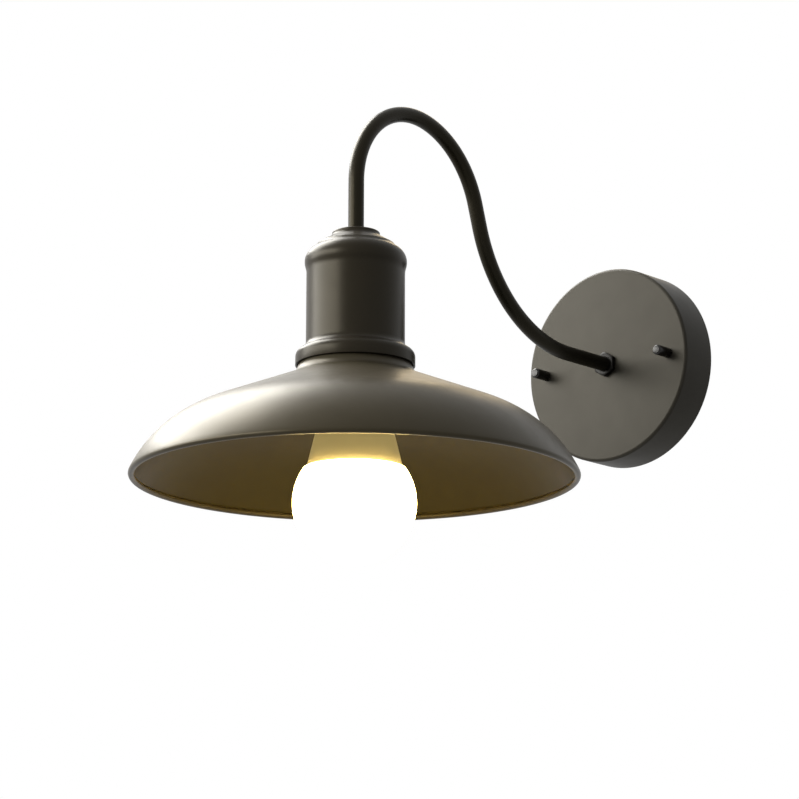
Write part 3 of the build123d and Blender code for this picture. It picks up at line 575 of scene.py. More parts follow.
class EffectShelf:
    """Builds each shared node group once and hands it out."""

    def __init__(self) -> None:
        """Start with an empty shelf."""
        self.groups: dict[Effect, bpy.types.NodeTree] = {}

    def get(self, effect: Effect) -> bpy.types.NodeTree:
        """The node group of an effect, built on first use.

        Args:
            effect: Which effect.

        Returns:
            The group's tree.
        """
        if effect not in self.groups:
            makers = {
                Effect.FINISH: self._finish, Effect.SPUN: self._spun,
                Effect.GRAIN: self._grain, Effect.DUST: self._dust,
            }
            self.groups[effect] = makers[effect]()
        return self.groups[effect]

    @staticmethod
    def _open(
        effect: Effect, outputs: dict[str, str], **defaults: object
    ) -> tuple[Nodes, bpy.types.NodeInputs, bpy.types.NodeInputs]:
        """Start a group that takes a Vector, with its other named sockets.

        Args:
            effect: Gives the group's name.
            outputs: Socket type suffix of each output by name.
            **defaults: A number or colour for each other input, with underscores for spaces.

        Returns:
            The tree's writer, what the group is given and what it gives.
        """
        tree = bpy.data.node_groups.new(effect.value, "ShaderNodeTree")
        tree.interface.new_socket("Vector", in_out="INPUT", socket_type="NodeSocketVector")
        for key, default in defaults.items():
            kind = "Color" if isinstance(default, tuple) else "Float"
            socket = tree.interface.new_socket(
                key.replace("_", " "), in_out="INPUT", socket_type=f"NodeSocket{kind}"
            )
            socket.default_value = default
        for name, kind in outputs.items():
            tree.interface.new_socket(name, in_out="OUTPUT", socket_type=f"NodeSocket{kind}")
        nodes = Nodes(tree)
        return nodes, nodes.add("NodeGroupInput").outputs, nodes.add("NodeGroupOutput").inputs

    def _finish(self) -> bpy.types.NodeTree:
        """Slow colour and gloss variation between a finish's two tones.

        Returns:
            The group's tree.
        """
        nodes, given, out = self._open(
            Effect.FINISH, {"Color": "Color", "Roughness": "Float"}, Tone=(0.5, 0.5, 0.5, 1),
            Other_Tone=(0.4, 0.4, 0.4, 1), Scale=30.0, Gloss_Low=0.3, Gloss_High=0.5,
        )
        clouds = nodes.add(
            "TexNoise", Vector=given["Vector"], Scale=given["Scale"], Detail=4.0, Roughness=0.6
        )
        spread = nodes.add("MapRange", Value=clouds.outputs["Fac"], From_Min=0.35, From_Max=0.65)
        tone = nodes.add(
            "Mix", data_type="RGBA", Factor=spread.outputs["Result"], A=given["Tone"],
            B=given["Other Tone"],
        )
        nodes.feed(out["Color"], tone.outputs["Result"])
        smear = nodes.add(
            "TexNoise", Vector=given["Vector"], Detail=6.0, Roughness=0.7,
            Scale=nodes.math("MULTIPLY", given["Scale"], SMEAR_SCALE),
        )
        gloss = nodes.add(
            "MapRange", Value=smear.outputs["Fac"], From_Min=0.3, From_Max=0.7,
            To_Min=given["Gloss Low"], To_Max=given["Gloss High"],
        )
        nodes.feed(out["Roughness"], gloss.outputs["Result"])
        return nodes.tree

    def _spun(self) -> bpy.types.NodeTree:
        """Faint rings round the local Z axis, as a spinning tool leaves them.

        Returns:
            The group's tree.
        """
        nodes, given, out = self._open(Effect.SPUN, {"Height": "Float"}, Rings_per_Metre=900.0)
        parts = nodes.add("SeparateXYZ", Vector=given["Vector"]).outputs
        flat = nodes.add("CombineXYZ", X=parts["X"], Y=parts["Y"])
        length = nodes.add("VectorMath", operation="LENGTH", Vector=flat.outputs[0])
        rise = nodes.math("MULTIPLY", parts["Z"], RING_RISE)
        way = nodes.math("ADD", length.outputs["Value"], rise)
        line = nodes.add("CombineXYZ", X=nodes.math("MULTIPLY", way, given["Rings per Metre"]))
        rings = nodes.add(
            "TexNoise", Vector=line.outputs[0], Scale=1.0, Detail=3.0, Roughness=0.65
        )
        nodes.feed(out["Height"], rings.outputs["Fac"])
        return nodes.tree

    def _grain(self) -> bpy.types.NodeTree:
        """Fine even grain of a sprayed or moulded skin.

        Returns:
            The group's tree.
        """
        nodes, given, out = self._open(Effect.GRAIN, {"Height": "Float"}, Grains_per_Metre=2500.0)
        grain = nodes.add(
            "TexNoise", Vector=given["Vector"], Scale=given["Grains per Metre"], Detail=2.0,
            Roughness=0.5,
        )
        nodes.feed(out["Height"], grain.outputs["Fac"])
        return nodes.tree

    def _dust(self) -> bpy.types.NodeTree:
        """Thin dust on what faces up, in patches.

        Returns:
            The group's tree.
        """
        nodes, given, out = self._open(
            Effect.DUST, {"Color": "Color"}, Color=(0.1, 0.1, 0.1, 1),
            Dust=(0.45, 0.42, 0.37, 1), Amount=0.1,
        )
        normal = nodes.add("NewGeometry").outputs["Normal"]
        facing = nodes.add("SeparateXYZ", Vector=normal).outputs["Z"]
        patches = nodes.add(
            "TexNoise", Vector=given["Vector"], Scale=60.0, Detail=5.0, Roughness=0.7
        )
        upward = nodes.math("POWER", nodes.math("MAXIMUM", facing, 0.0), 2.0)
        cover = nodes.math("MULTIPLY", upward, patches.outputs["Fac"])
        cover = nodes.math("MULTIPLY", cover, given["Amount"])
        dusty = nodes.add(
            "Mix", data_type="RGBA", Factor=cover, A=given["Color"], B=given["Dust"]
        )
        nodes.feed(out["Color"], dusty.outputs["Result"])
        return nodes.tree


SHELF = EffectShelf()


@dataclass(frozen=True)
class Finish:
    """A surface finish and how its material is made.

    Args:
        name: The material's name.
        tone: Main colour, linear.
        other_tone: Colour that it varies towards.
        gloss: Lowest and highest roughness.
        metallic: 1 for bare metal.
        specular: Specular level of paint or plastic.
        tint: Tint of its reflections.
        coat: Weight of a clear coat.
        scale: Scale of the slow variation.
        grain: Depth of the fine grain in millimetres.
        rings: Depth of the spun rings in millimetres, 0 for none.
        centre: Where the rings are centred, in metres.
        upright: Whether the rings' axis is vertical rather than square to the wall.
        dust: Amount of dust on upward faces.
        glow: Colour and strength of the light it gives off, if any; on the housing it is painted
        glow that stands for light bounced onto it.
    """

    name: str
    tone: Triple
    other_tone: Triple
    gloss: Pair = (0.35, 0.5)
    metallic: float = 0.0
    specular: float = 0.5
    tint: Triple = (1.0, 1.0, 1.0)
    coat: float = 0.0
    scale: float = 25.0
    grain: float = 0.006
    rings: float = 0.0
    centre: Triple = (0.0, 0.0, 0.0)
    upright: bool = True
    dust: float = 0.0
    glow: tuple[float, float, float, float] | None = None

    def make(self) -> bpy.types.Material:
        """Build the material.

        Returns:
            The material with its node tree.
        """
        material = bpy.data.materials.new(self.name)
        material.use_nodes = True
        nodes = Nodes(material.node_tree)
        skin = nodes.add(
            "BsdfPrincipled", Metallic=self.metallic, Specular_IOR_Level=self.specular,
            Specular_Tint=(*self.tint, 1), Coat_Weight=self.coat, Coat_Roughness=0.15,
        )
        nodes.add("OutputMaterial", Surface=skin.outputs[0])
        place = nodes.add("TexCoord").outputs["Object"]
        finish = self._group(
            nodes, Effect.FINISH, place, Scale=self.scale, Tone=(*self.tone, 1),
            Other_Tone=(*self.other_tone, 1), Gloss_Low=self.gloss[0], Gloss_High=self.gloss[1],
        )
        color = finish["Color"]
        if self.dust:
            color = self._group(nodes, Effect.DUST, place, Amount=self.dust, Color=color)["Color"]
        grain = self._group(nodes, Effect.GRAIN, place)["Height"]
        bump = nodes.add("Bump", Distance=self.grain * MM, Strength=1.0, Height=grain)
        if self.rings:
            centre = nodes.add(
                "Mapping", vector_type="TEXTURE", Location=self.centre, Vector=place,
                Rotation=(0 if self.upright else pi / 2, 0, 0),
            )
            rings = self._group(nodes, Effect.SPUN, centre.outputs[0])["Height"]
            bump = nodes.add(
                "Bump", Distance=self.rings * MM, Strength=1.0, Height=rings, Normal=bump.outputs[0]
            )
        fed = {
            "Roughness": finish["Roughness"], "Base Color": color, "Normal": bump.outputs[0],
        }
        if self.glow:
            fed |= {"Emission Color": (*self.glow[:3], 1), "Emission Strength": self.glow[3]}
        for name, value in fed.items():
            nodes.feed(skin.inputs[name], value)
        return material

    @staticmethod
    def _group(
        nodes: Nodes, effect: Effect, vector: Socket, **values: object
    ) -> bpy.types.NodeOutputs:
        """Place a shared group.

        Args:
            nodes: The tree to write in.
            effect: Which group.
            vector: Coordinates for it.
            **values: What feeds its other inputs.

        Returns:
            The group's outputs.
        """
        node = nodes.add("Group", node_tree=SHELF.get(effect), Vector=vector, **values)
        return node.outputs


LAMP_CENTRE = (0.0, -REACH * MM, 0.0)
OLIVE = (1.0, 0.88, 0.62)
MADE: dict[Enum, bpy.types.Material] = {}


class Finishes(Enum):
    """Every finish on the lamp."""

    # Canopy, arm, cup and shade wear one bronze paint; the arm and cup tones are darkened as
    # painted shade.
    CANOPY = Finish(
        "bronze_canopy", (0.038, 0.035, 0.028), (0.033, 0.030, 0.024), (0.40, 0.46), specular=0.15,
        tint=(1.0, 0.95, 0.82), rings=0.006, upright=False, dust=0.03,
    )
    # Darker tone than the canopy's paint: painted shade.
    ARM = Finish(
        "bronze_arm", (0.014, 0.012, 0.008), (0.011, 0.010, 0.007), (0.3, 0.36), specular=0.13,
        tint=OLIVE,
    )
    # Darker tone than the canopy's paint: painted shade.
    CUP = Finish(
        "bronze_cup", (0.017, 0.0135, 0.008), (0.0145, 0.0115, 0.007), (0.32, 0.37), specular=0.18,
        tint=(1.0, 0.93, 0.76), rings=0.008, centre=LAMP_CENTRE, dust=0.03,
    )
    SHADE = Finish(
        "bronze_shade", (0.034, 0.028, 0.017), (0.029, 0.024, 0.014), (0.34, 0.40), specular=0.30,
        tint=OLIVE, rings=0.01, centre=LAMP_CENTRE, dust=0.02,
    )
    # Inside of the shade: the outside paint with a warmer tone and reflection tint as painted bulb
    # light.
    LINING = Finish(
        "bronze_lining_painted_bulb_light", (0.029, 0.024, 0.010), (0.025, 0.020, 0.008), (0.28, 0.36), specular=0.20,
        tint=(1.0, 0.82, 0.44), rings=0.012, centre=LAMP_CENTRE,
    )
    NUT = Finish(
        "bronze_cap_nut", (0.010, 0.009, 0.007), (0.008, 0.007, 0.006), (0.22, 0.3), specular=0.3
    )
    ARM_NUT = Finish(
        "bronze_arm_nut", (0.010, 0.009, 0.007), (0.007, 0.006, 0.005), (0.3, 0.4), specular=0.12
    )
    ZINC = Finish(
        "zinc_plate", (0.60, 0.60, 0.58), (0.50, 0.51, 0.50), (0.25, 0.42), metallic=1.0, scale=60
    )
    BRASS = Finish(
        "plain_brass", (0.72, 0.53, 0.22), (0.60, 0.42, 0.17), (0.22, 0.38), metallic=1.0, scale=60
    )
    NICKEL = Finish(
        "bright_nickel", (0.72, 0.70, 0.66), (0.64, 0.62, 0.58), (0.16, 0.28), metallic=1.0,
        scale=50,
    )
    TINNED = Finish(
        "tinned_copper", (0.66, 0.64, 0.60), (0.58, 0.54, 0.48), (0.3, 0.45), metallic=1.0, scale=90
    )
    BLOCK = Finish("natural_block", (0.72, 0.70, 0.62), (0.66, 0.64, 0.56), (0.4, 0.5))
    HOLDER = Finish(
        "black_moulding", (0.016, 0.015, 0.014), (0.012, 0.011, 0.010), (0.25, 0.36), specular=0.5
    )
    BUSH = Finish("black_bush", (0.02, 0.02, 0.02), (0.016, 0.016, 0.016), (0.45, 0.55))
    CERAMIC = Finish(
        "glazed_ceramic", (0.80, 0.77, 0.70), (0.74, 0.71, 0.63), (0.18, 0.3), coat=0.4
    )
    BROWN = Finish("brown_sleeve", (0.11, 0.045, 0.018), (0.09, 0.036, 0.015), (0.4, 0.5))
    BLUE = Finish("blue_sleeve", (0.015, 0.07, 0.28), (0.012, 0.06, 0.23), (0.4, 0.5))
    EARTH = Finish("green_sleeve", (0.10, 0.26, 0.02), (0.09, 0.23, 0.02), (0.4, 0.5))
    # The housing is no lamp: its glow is painted light for the warm light bounced onto it.
    HOUSING = Finish(
        "opal_housing_painted_glow", (0.20, 0.19, 0.16), (0.18, 0.17, 0.14), (0.3, 0.4),
        glow=(1.0, 0.76, 0.28, 0.26),
    )
    GLASS = Finish(
        "black_insulator", (0.008, 0.008, 0.010), (0.010, 0.010, 0.012), (0.08, 0.14), coat=0.5
    )
    BOARD = Finish("white_board", (0.82, 0.82, 0.80), (0.78, 0.78, 0.76), (0.35, 0.45))
    FIBRE = Finish("green_board", (0.02, 0.11, 0.04), (0.018, 0.09, 0.035), (0.35, 0.5))
    GLOBE = Finish(
        "opal_globe", (0.90, 0.86, 0.78), (0.88, 0.84, 0.76), (0.45, 0.55),
        glow=(1.0, 0.72, 0.24, 26.0),
    )

    def material(self) -> bpy.types.Material:
        """The finish's material, made on first use.

        Returns:
            The material, shared by all pieces with this finish.
        """
        if self not in MADE:
            MADE[self] = self.value.make()
        return MADE[self]


def dress(piece: Piece, finish: Finishes, lining: Finishes | None = None) -> None:
    """Give a piece one finish all over, or another one inside its wall.

    Args:
        piece: The object.
        finish: Its finish.
        lining: Finish of the faces that Solidify laid inside, if it differs.
    """
    inside = [face.material_index for face in piece.data.polygons]
    piece.data.materials.clear()
    for layer in (finish, lining):
        if layer:
            piece.data.materials.append(layer.material())
    for face, index in zip(piece.data.polygons, inside):
        face.material_index = index if lining else 0


def seat(
    piece: Piece, body: Body, finish: Finishes, stands_for: Sequence[str],
    smooth: float = 35, lining: Finishes | None = None,
) -> None:
    """Finish a modelled piece: shading, material, body, and the node it stands for.

    Args:
        piece: The object, with its place in its mesh.
        body: The body that it rides on.
        finish: Its finish.
        stands_for: CAD nodes that it replaces.
        smooth: Edges flatter than this many degrees are shaded smooth.
        lining: Finish inside its wall, if it differs.
    """
    Bench.pick(piece)
    bpy.ops.object.transform_apply(location=True, rotation=True, scale=True)
    bpy.ops.object.shade_smooth_by_angle(angle=radians(smooth))
    dress(piece, finish, lining)
    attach(piece, body.value)
    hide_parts(*stands_for)
    LOG.info("%s: %d faces on %s", piece.name, len(piece.data.polygons), body.value)


# ---------------------------------------- the wall end
@dataclass
class Canopy:
    """The round canopy with the nuts on its face."""

    radius: float = 62.5
    depth: float = 27.0
    sheet: float = 1.0
    edge: float = 2.0
    arm_hole: float = 4.85
    stud_offset: float = 48.5
    stud_hole: float = 2.25
    nut_radius: float = 3.2
    nut_length: float = 12.5
    nut_chamfer: float = 0.9
    nut_bore: float = 2.05
    nut_bore_depth: float = 9.25
    nut_foot_chamfer: float = 0.25
    nut_drill_tip: float = 0.6
    nut_bevel: float = 0.12

    def build(self) -> None:
        """Make the canopy and its two cap nuts."""
        self._pan()
        self._cap_nuts()

    def _pan(self) -> None:
        """Spin the pan and drill it for the studs."""

        def draw(pen: Pen) -> None:
            """Face, rounded edge and side.

            Args:
                pen: Set down at the outline's start.
            """
            pen.line_to(self.radius - self.edge, self.depth)
            pen.bend(self.edge, -90, chord=10)
            pen.line_to(self.radius, 0)

        start = (self.arm_hole, self.depth)
        pan = turned("canopy_pan", WALL_PLANE, start, draw, wall=self.sheet, steps=160)
        for side in (-1, 1):
            place = WALL_PLANE.at(side * self.stud_offset, self.depth)
            Bench.drill(pan, place, self.stud_hole, lean=pi / 2)
        seat(pan, Body.FIXTURE, Finishes.CANOPY, ["canopy"])

    def _cap_nuts(self) -> None:
        """Turn one cap nut, blind-bored and chamfered, and copy it to the other stud."""
        low, top = self.depth, self.depth + self.nut_length
        floor = low + self.nut_bore_depth

        def draw(pen: Pen) -> None:
            """Up the outside, over the chamfer, and down the bore.

            Args:
                pen: Set down at the outline's start.
            """
            pen.line_to(self.nut_radius - self.nut_foot_chamfer, low)
            pen.line_to(self.nut_radius, low + self.nut_foot_chamfer)
            pen.line_to(self.nut_radius, top - self.nut_chamfer)
            pen.line_to(self.nut_radius - self.nut_chamfer, top)
            pen.line_to(0, top)
            pen.line_to(0, floor + self.nut_drill_tip)
            pen.line_to(self.nut_bore, floor)
            pen.line_to(self.nut_bore, low)

        middle = WALL_PLANE.at(-self.stud_offset, 0)
        axis = DrawingPlane(middle, WALL_PLANE.across, WALL_PLANE.along)
        nut = turned("cap_nut_left", axis, (self.nut_bore, low), draw, steps=48)
        Bench.bevel(nut, self.nut_bevel, angle=30)
        twin = Bench.copy_by(nut, WALL_PLANE.across * (2 * self.stud_offset * MM))
        twin.name = twin.data.name = "cap_nut_right"
        for piece in (nut, twin):
            seat(piece, Body.FIXTURE, Finishes.NUT, ["cap_nuts"])


@dataclass
class Arm:
    """The bent tube with the nut that locks it on the canopy."""

    radius: float = 4.6
    wall: float = 1.0
    wall_end: float = 16.0
    first_bend_start: float = 66.6
    first_bend_radius: float = 90.0
    rise_angle: float = 72.6
    rise: float = 14.5
    crest_radius: float = 60.2
    crest_angle: float = 11.1
    lamp_end: float = 4.0
    nut_flats: float = 14.0
    nut_height: float = 3.0
    nut_foot: float = 27.0
    nut_bevel: float = 0.18
    thread_gap: float = 0.05
    chord: float = 1.25

    def build(self) -> None:
        """Make the tube and its outer nut."""
        self._tube()
        nut = hexagon_nut(
            "arm_hexagon_nut", WALL_PLANE, self.nut_flats, self.radius + self.thread_gap,
            self.nut_foot, self.nut_height,
        )
        Bench.bevel(nut, self.nut_bevel, angle=35)
        seat(nut, Body.FIXTURE, Finishes.ARM_NUT, ["arm_nut"], smooth=28)

    def _tube(self) -> None:
        """Sweep a ring along the arm with extrude and spin, then give it its wall."""
        pen = Pen(ARM_PLANE, self.wall_end, 0)
        Bench.clear()
        bpy.ops.mesh.primitive_circle_add(
            vertices=72, radius=self.radius * MM, location=ARM_PLANE.at(self.wall_end, 0),
            rotation=(pi / 2, 0, 0),
        )
        tube = Bench.name_new("gooseneck_tube")
        bpy.ops.object.mode_set(mode="EDIT")
        bpy.ops.mesh.select_all(action="SELECT")
        pen.line_to(self.first_bend_start, 0)
        pen.bend(self.first_bend_radius, self.rise_angle, self.chord)
        pen.ahead(self.rise)
        pen.bend(self.crest_radius, self.crest_angle - self.rise_angle, self.chord)
        drop_radius = (REACH - pen.place.x) / (1 + sin(radians(self.crest_angle)))
        pen.bend(drop_radius, -90 - self.crest_angle, self.chord)
        pen.line_to(REACH, self.lamp_end)
        bpy.ops.object.mode_set(mode="OBJECT")
        Bench.clean(tube)
        Bench.apply(
            tube, "SOLIDIFY", thickness=self.wall * MM, offset=-1, use_even_offset=True
        )
        seat(tube, Body.FIXTURE, Finishes.ARM, ["arm_tube"])


# ---------------------------------------- the lamp end
@dataclass
class SocketCup:
    """The stepped cup over the lampholder."""

    sheet: float = 1.0
    top: float = 35.5
    hole: float = 4.85
    boss: float = 14.0
    boss_edge: float = 1.0
    boss_height: float = 3.4
    slope_start: float = 16.0
    slope_drop: float = 4.2
    step_radius: float = 22.6
    step_height: float = 1.2
    step_run: float = 0.7
    ridge: float = 25.2
    ridge_drop: float = 1.4
    bead: float = 29.7
    bead_height: float = 17.5
    body: float = 28.6
    body_top: float = 10.5
    foot: float = 34.6
    foot_top: float = -30.5
    foot_turn: float = 68.0
    foot_bottom: float = -44.3
    bevel: float = 0.25

    def build(self) -> None:
        """Spin the cup and ease its sharp steps."""
        cup = turned(
            "socket_cup_spun", LAMP_PLANE, (self.hole, self.top), self._outline, wall=self.sheet,
            steps=144,
        )
        Bench.bevel(cup, self.bevel, angle=24)
        seat(cup, Body.FIXTURE, Finishes.CUP, ["socket_cup"], smooth=30)

    def _outline(self, pen: Pen) -> None:
        """Boss, cove, slope, step, ridge, shoulder, bead, body and S-curved foot.

        Args:
            pen: Set down at the edge of the arm's hole.
        """
        boss_bottom = self.top - self.boss_height
        step_top = boss_bottom - self.slope_drop
        step_bottom = step_top - self.step_height
        ridge_height = step_bottom - self.ridge_drop
        cove = self.slope_start - self.boss
        slope = degrees(atan2(self.slope_drop, self.step_radius - self.slope_start))
        pen.line_to(self.boss - self.boss_edge, self.top)
        pen.bend(self.boss_edge, -90, chord=15)
        pen.line_to(self.boss, boss_bottom + cove)
        pen.bend(cove, 90 - slope, chord=10)
        pen.line_to(self.step_radius, step_top)
        pen.line_to(self.step_radius + self.step_run, step_bottom)
        pen.line_to(self.ridge, ridge_height)
        out, down = self.bead - self.ridge, ridge_height - self.bead_height
        shoulder = (out**2 + down**2) / (2 * out)
        lean = degrees(atan2(down, shoulder - out))
        pen.aim(lean - 90)
        pen.bend(shoulder, -lean, chord=6)
        fall, step = self.bead_height - self.body_top, self.bead - self.body
        roll = (fall**2 + step**2) / (4 * step)
        turn = degrees(2 * atan2(step, fall))
        pen.bend(roll, -turn, chord=5)
        pen.bend(roll, turn, chord=5)
        pen.line_to(self.body, self.foot_top)
        curve = (self.foot - self.body) / (2 * (1 - cos(radians(self.foot_turn))))
        pen.bend(curve, self.foot_turn, chord=6)
        pen.bend(curve, -self.foot_turn, chord=6)
        pen.line_to(self.foot, self.foot_bottom)


@dataclass
class Shade:
    """The spun shade: disc, neck, flare, cone, dome and rolled rim."""

    radius: float = 129.0
    sheet: float = 0.8
    rim: float = 1.85
    curl: float = 265.0
    rim_height: float = -109.6
    cone: float = 21.7
    shoulder: float = 89.4
    shoulder_height: float = -71.7
    neck: float = 32.8
    flare: float = 10.0
    top: float = -37.0
    corner: float = 1.6
    hole: float = 19.75

    def build(self) -> None:
        """Spin the shade from one outline."""
        shade = turned(
            "shade_spun", LAMP_PLANE, (self.hole, self.top), self._outline, wall=self.sheet,
            steps=224,
        )
        seat(shade, Body.FIXTURE, Finishes.SHADE, ["shade"], 30, Finishes.LINING)

    def _outline(self, pen: Pen) -> None:
        """From the hole outwards and down to the rim.

        Args:
            pen: Set down at the edge of the holder's hole.
        """
        slope = radians(self.cone)
        normal = Vector((sin(slope), cos(slope)))
        rim = Vector((self.radius - self.rim, self.rim_height))
        shoulder = Vector((self.shoulder, self.shoulder_height))
        way = rim - shoulder
        dome = (self.rim**2 - way.length_squared) / (2 * (way.dot(normal) + self.rim))
        centre = shoulder - normal * dome
        rim_angle = degrees(atan2(rim.y - centre.y, rim.x - centre.x))
        run = self.shoulder - (self.neck + self.flare)
        flare_top = self.shoulder_height + (self.flare + run * normal.x) / normal.y
        pen.line_to(self.neck - self.corner, self.top)
        pen.bend(self.corner, -90, chord=12)
        pen.line_to(self.neck, flare_top)
        pen.bend(self.flare, 90 - self.cone, chord=5)
        start = pen.place
        for share in (0.25, 0.5, 0.75, 1.0):
            pen.line_to(
                start.x + (self.shoulder - start.x) * share,
                start.y + (self.shoulder_height - start.y) * share,
            )
        pen.bend(dome, rim_angle - 90 + self.cone, chord=2)
        pen.bend(self.rim, -self.curl, chord=15)


@dataclass
class Bulb:
    """The globe bulb: cap, housing and frosted globe."""

    neck: float = 13.9
    neck_height: float = -48.0
    waist: float = 19.0
    waist_height: float = -68.0
    seam: float = 27.8
    seam_height: float = -104.9
    wall: float = 1.6
    globe: float = 35.5
    globe_height: float = -124.7
    globe_wall: float = 1.4
    spigot: float = 12.55
    spigot_height: float = 8.0
    ledge: float = 24.25
    ledge_height: float = -101.0
    ledge_gap: float = 0.25
    bevel: float = 0.3

    def build(self) -> None:
        """Make the housing and the globe."""
        self._housing()
        self._globe()

    def _housing(self) -> None:
        """Spin the flaring housing, with the ledge for its board and the spigot for its cap."""
        bore = self.spigot - self.wall
        top = self.neck_height + self.spigot_height

        def draw(pen: Pen) -> None:
            """Spigot, neck, flank, seam, ledge and the inner flank back up.

            Args:
                pen: Set down at the outline's start.
            """
            pen.line_to(self.spigot, top)
            pen.line_to(self.spigot, self.neck_height)
            pen.line_to(self.neck, self.neck_height)
            pen.through(
                Vector((self.waist, self.waist_height)), Vector((self.seam, self.seam_height))
            )
            pen.line_to(self.ledge, self.seam_height)
            pen.line_to(self.ledge, self.ledge_height)
            pen.line_to(self.ledge - self.ledge_gap - self.wall, self.ledge_height)
            pen.through(
                Vector((self.waist - 2 * self.wall, self.waist_height)),
                Vector((bore, self.neck_height)),
            )
            pen.line_to(bore, top)

        housing = turned("bulb_housing_moulded", LAMP_PLANE, (bore, top), draw)
        Bench.bevel(housing, self.bevel)
        seat(housing, Body.BULB, Finishes.HOUSING, ["bulb_housing"])

    def _globe(self) -> None:
        """Spin the globe from its seam down to the pole."""
        lift = self.seam_height - self.globe_height
        reach = sqrt(self.globe**2 - lift**2)
        start = degrees(atan2(lift, reach))

        def draw(pen: Pen) -> None:
            """From the seam to the pole."""
            pen.aim(start - 90)
            pen.bend(self.globe, -90 - start, chord=3)

        globe = turned(
            "bulb_globe_frosted", LAMP_PLANE, (reach, self.seam_height), draw, wall=self.globe_wall
        )
        seat(globe, Body.BULB, Finishes.GLOBE, ["bulb_diffuser"])


@dataclass
class LampThread:
    """The bulb's screw cap and the holder's shell, with their rounded thread."""

    pitch: float = 3.63
    groove_depth: float = 0.38
    groove: float = 1.7
    cap: float = 13.1
    cap_sheet: float = 0.5
    cap_shoulder: float = -29.0
    cap_bottom: float = -48.0
    insulator: float = 10.6
    insulator_height: float = -26.8
    shell: float = 13.4
    shell_sheet: float = 0.5
    shell_top: float = -19.0
    shell_bottom: float = -45.0
    window: float = 8.0
    screw_offset: float = 10.8
    screw_hole: float = 1.35
    cap_margins: Pair = (3.2, 2.4)
    shell_margins: Pair = (2.4, 5.0)

    def build(self) -> None:
        """Make both threaded pieces."""
        self._cap()
        self._shell()

    def _threaded(
        self, name: str, outline: Sequence[Pair], middle: float, low: float, high: float
    ) -> Piece:
        """Turn a piece and cut its rounded thread.

        Args:
            name: The name of the piece.
            outline: Its corners as radius and height.
            middle: Distance of the groove's middle from the axis.
            low: Height where the thread starts.
            high: Height where it ends.

        Returns:
            The threaded piece.
        """
        piece = turned_solid(name, LAMP_PLANE, outline, steps=80)
        Bench.cut(piece, helical_rope(LAMP_PLANE, middle, self.groove, low, high, self.pitch))
        return piece

    def _cap(self) -> None:
        """The cap, with the thread in its outside."""
        inner = self.cap - self.cap_sheet
        cap = self._threaded(
            "bulb_cap_threaded",
            [
                (self.insulator, self.insulator_height), (self.cap, self.cap_shoulder),
                (self.cap, self.cap_bottom), (inner, self.cap_bottom),
                (inner, self.cap_shoulder - self.cap_sheet / 2),
                (self.insulator, self.insulator_height - self.cap_sheet),
            ],
            self.cap - self.groove_depth + self.groove,
            self.cap_bottom + self.cap_margins[0], self.cap_shoulder - self.cap_margins[1],
        )
        seat(cap, Body.BULB, Finishes.NICKEL, ["bulb_screw_cap"], smooth=32)

    def _shell(self) -> None:
        """The shell, with the thread in its inside and a hole for the neutral screw."""
        outer = self.shell + self.shell_sheet
        under_top = self.shell_top - self.shell_sheet
        shell = self._threaded(
            "holder_shell_threaded",
            [
                (self.window, self.shell_top), (outer, self.shell_top),
                (outer, self.shell_bottom), (self.shell, self.shell_bottom),
                (self.shell, under_top), (self.window, under_top),
            ],
            self.shell + self.groove_depth - self.groove,
            self.shell_bottom + self.shell_margins[0], self.shell_top - self.shell_margins[1],
        )
        Bench.drill(shell, LAMP_PLANE.at(self.screw_offset, self.shell_top), self.screw_hole)
        seat(shell, Body.FIXTURE, Finishes.BRASS, ["screw_shell"], smooth=32)


# ---------------------------------------- CAD nodes that stay
CARRIED: dict[Finishes, tuple[str, ...]] = {
    Finishes.ZINC: (
        "mounting_bracket", "bracket_studs", "stud_lock_nuts", "arm_lock_washer", "arm_lock_nut",
        "block_fixing_screw", "earth_screw", "cup_lock_nut", "grub_screw",
    ),
    Finishes.BRASS: ("terminal_screws", "holder_screws", "centre_contact"),
    Finishes.TINNED: ("earth_tags", "bulb_contact"),
    Finishes.HOLDER: ("lampholder_cap", "lampholder_body", "shade_ring"),
    Finishes.BUSH: ("tube_bushes",),
    Finishes.BLOCK: ("terminal_block",),
    Finishes.EARTH: ("earth_wire",),
    Finishes.BROWN: ("live_wire",),
    Finishes.BLUE: ("neutral_wire",),
    Finishes.CERAMIC: ("contact_carrier",),
    Finishes.GLASS: ("bulb_insulator",),
    Finishes.BOARD: ("led_board",),
    Finishes.FIBRE: ("driver_board",),
}


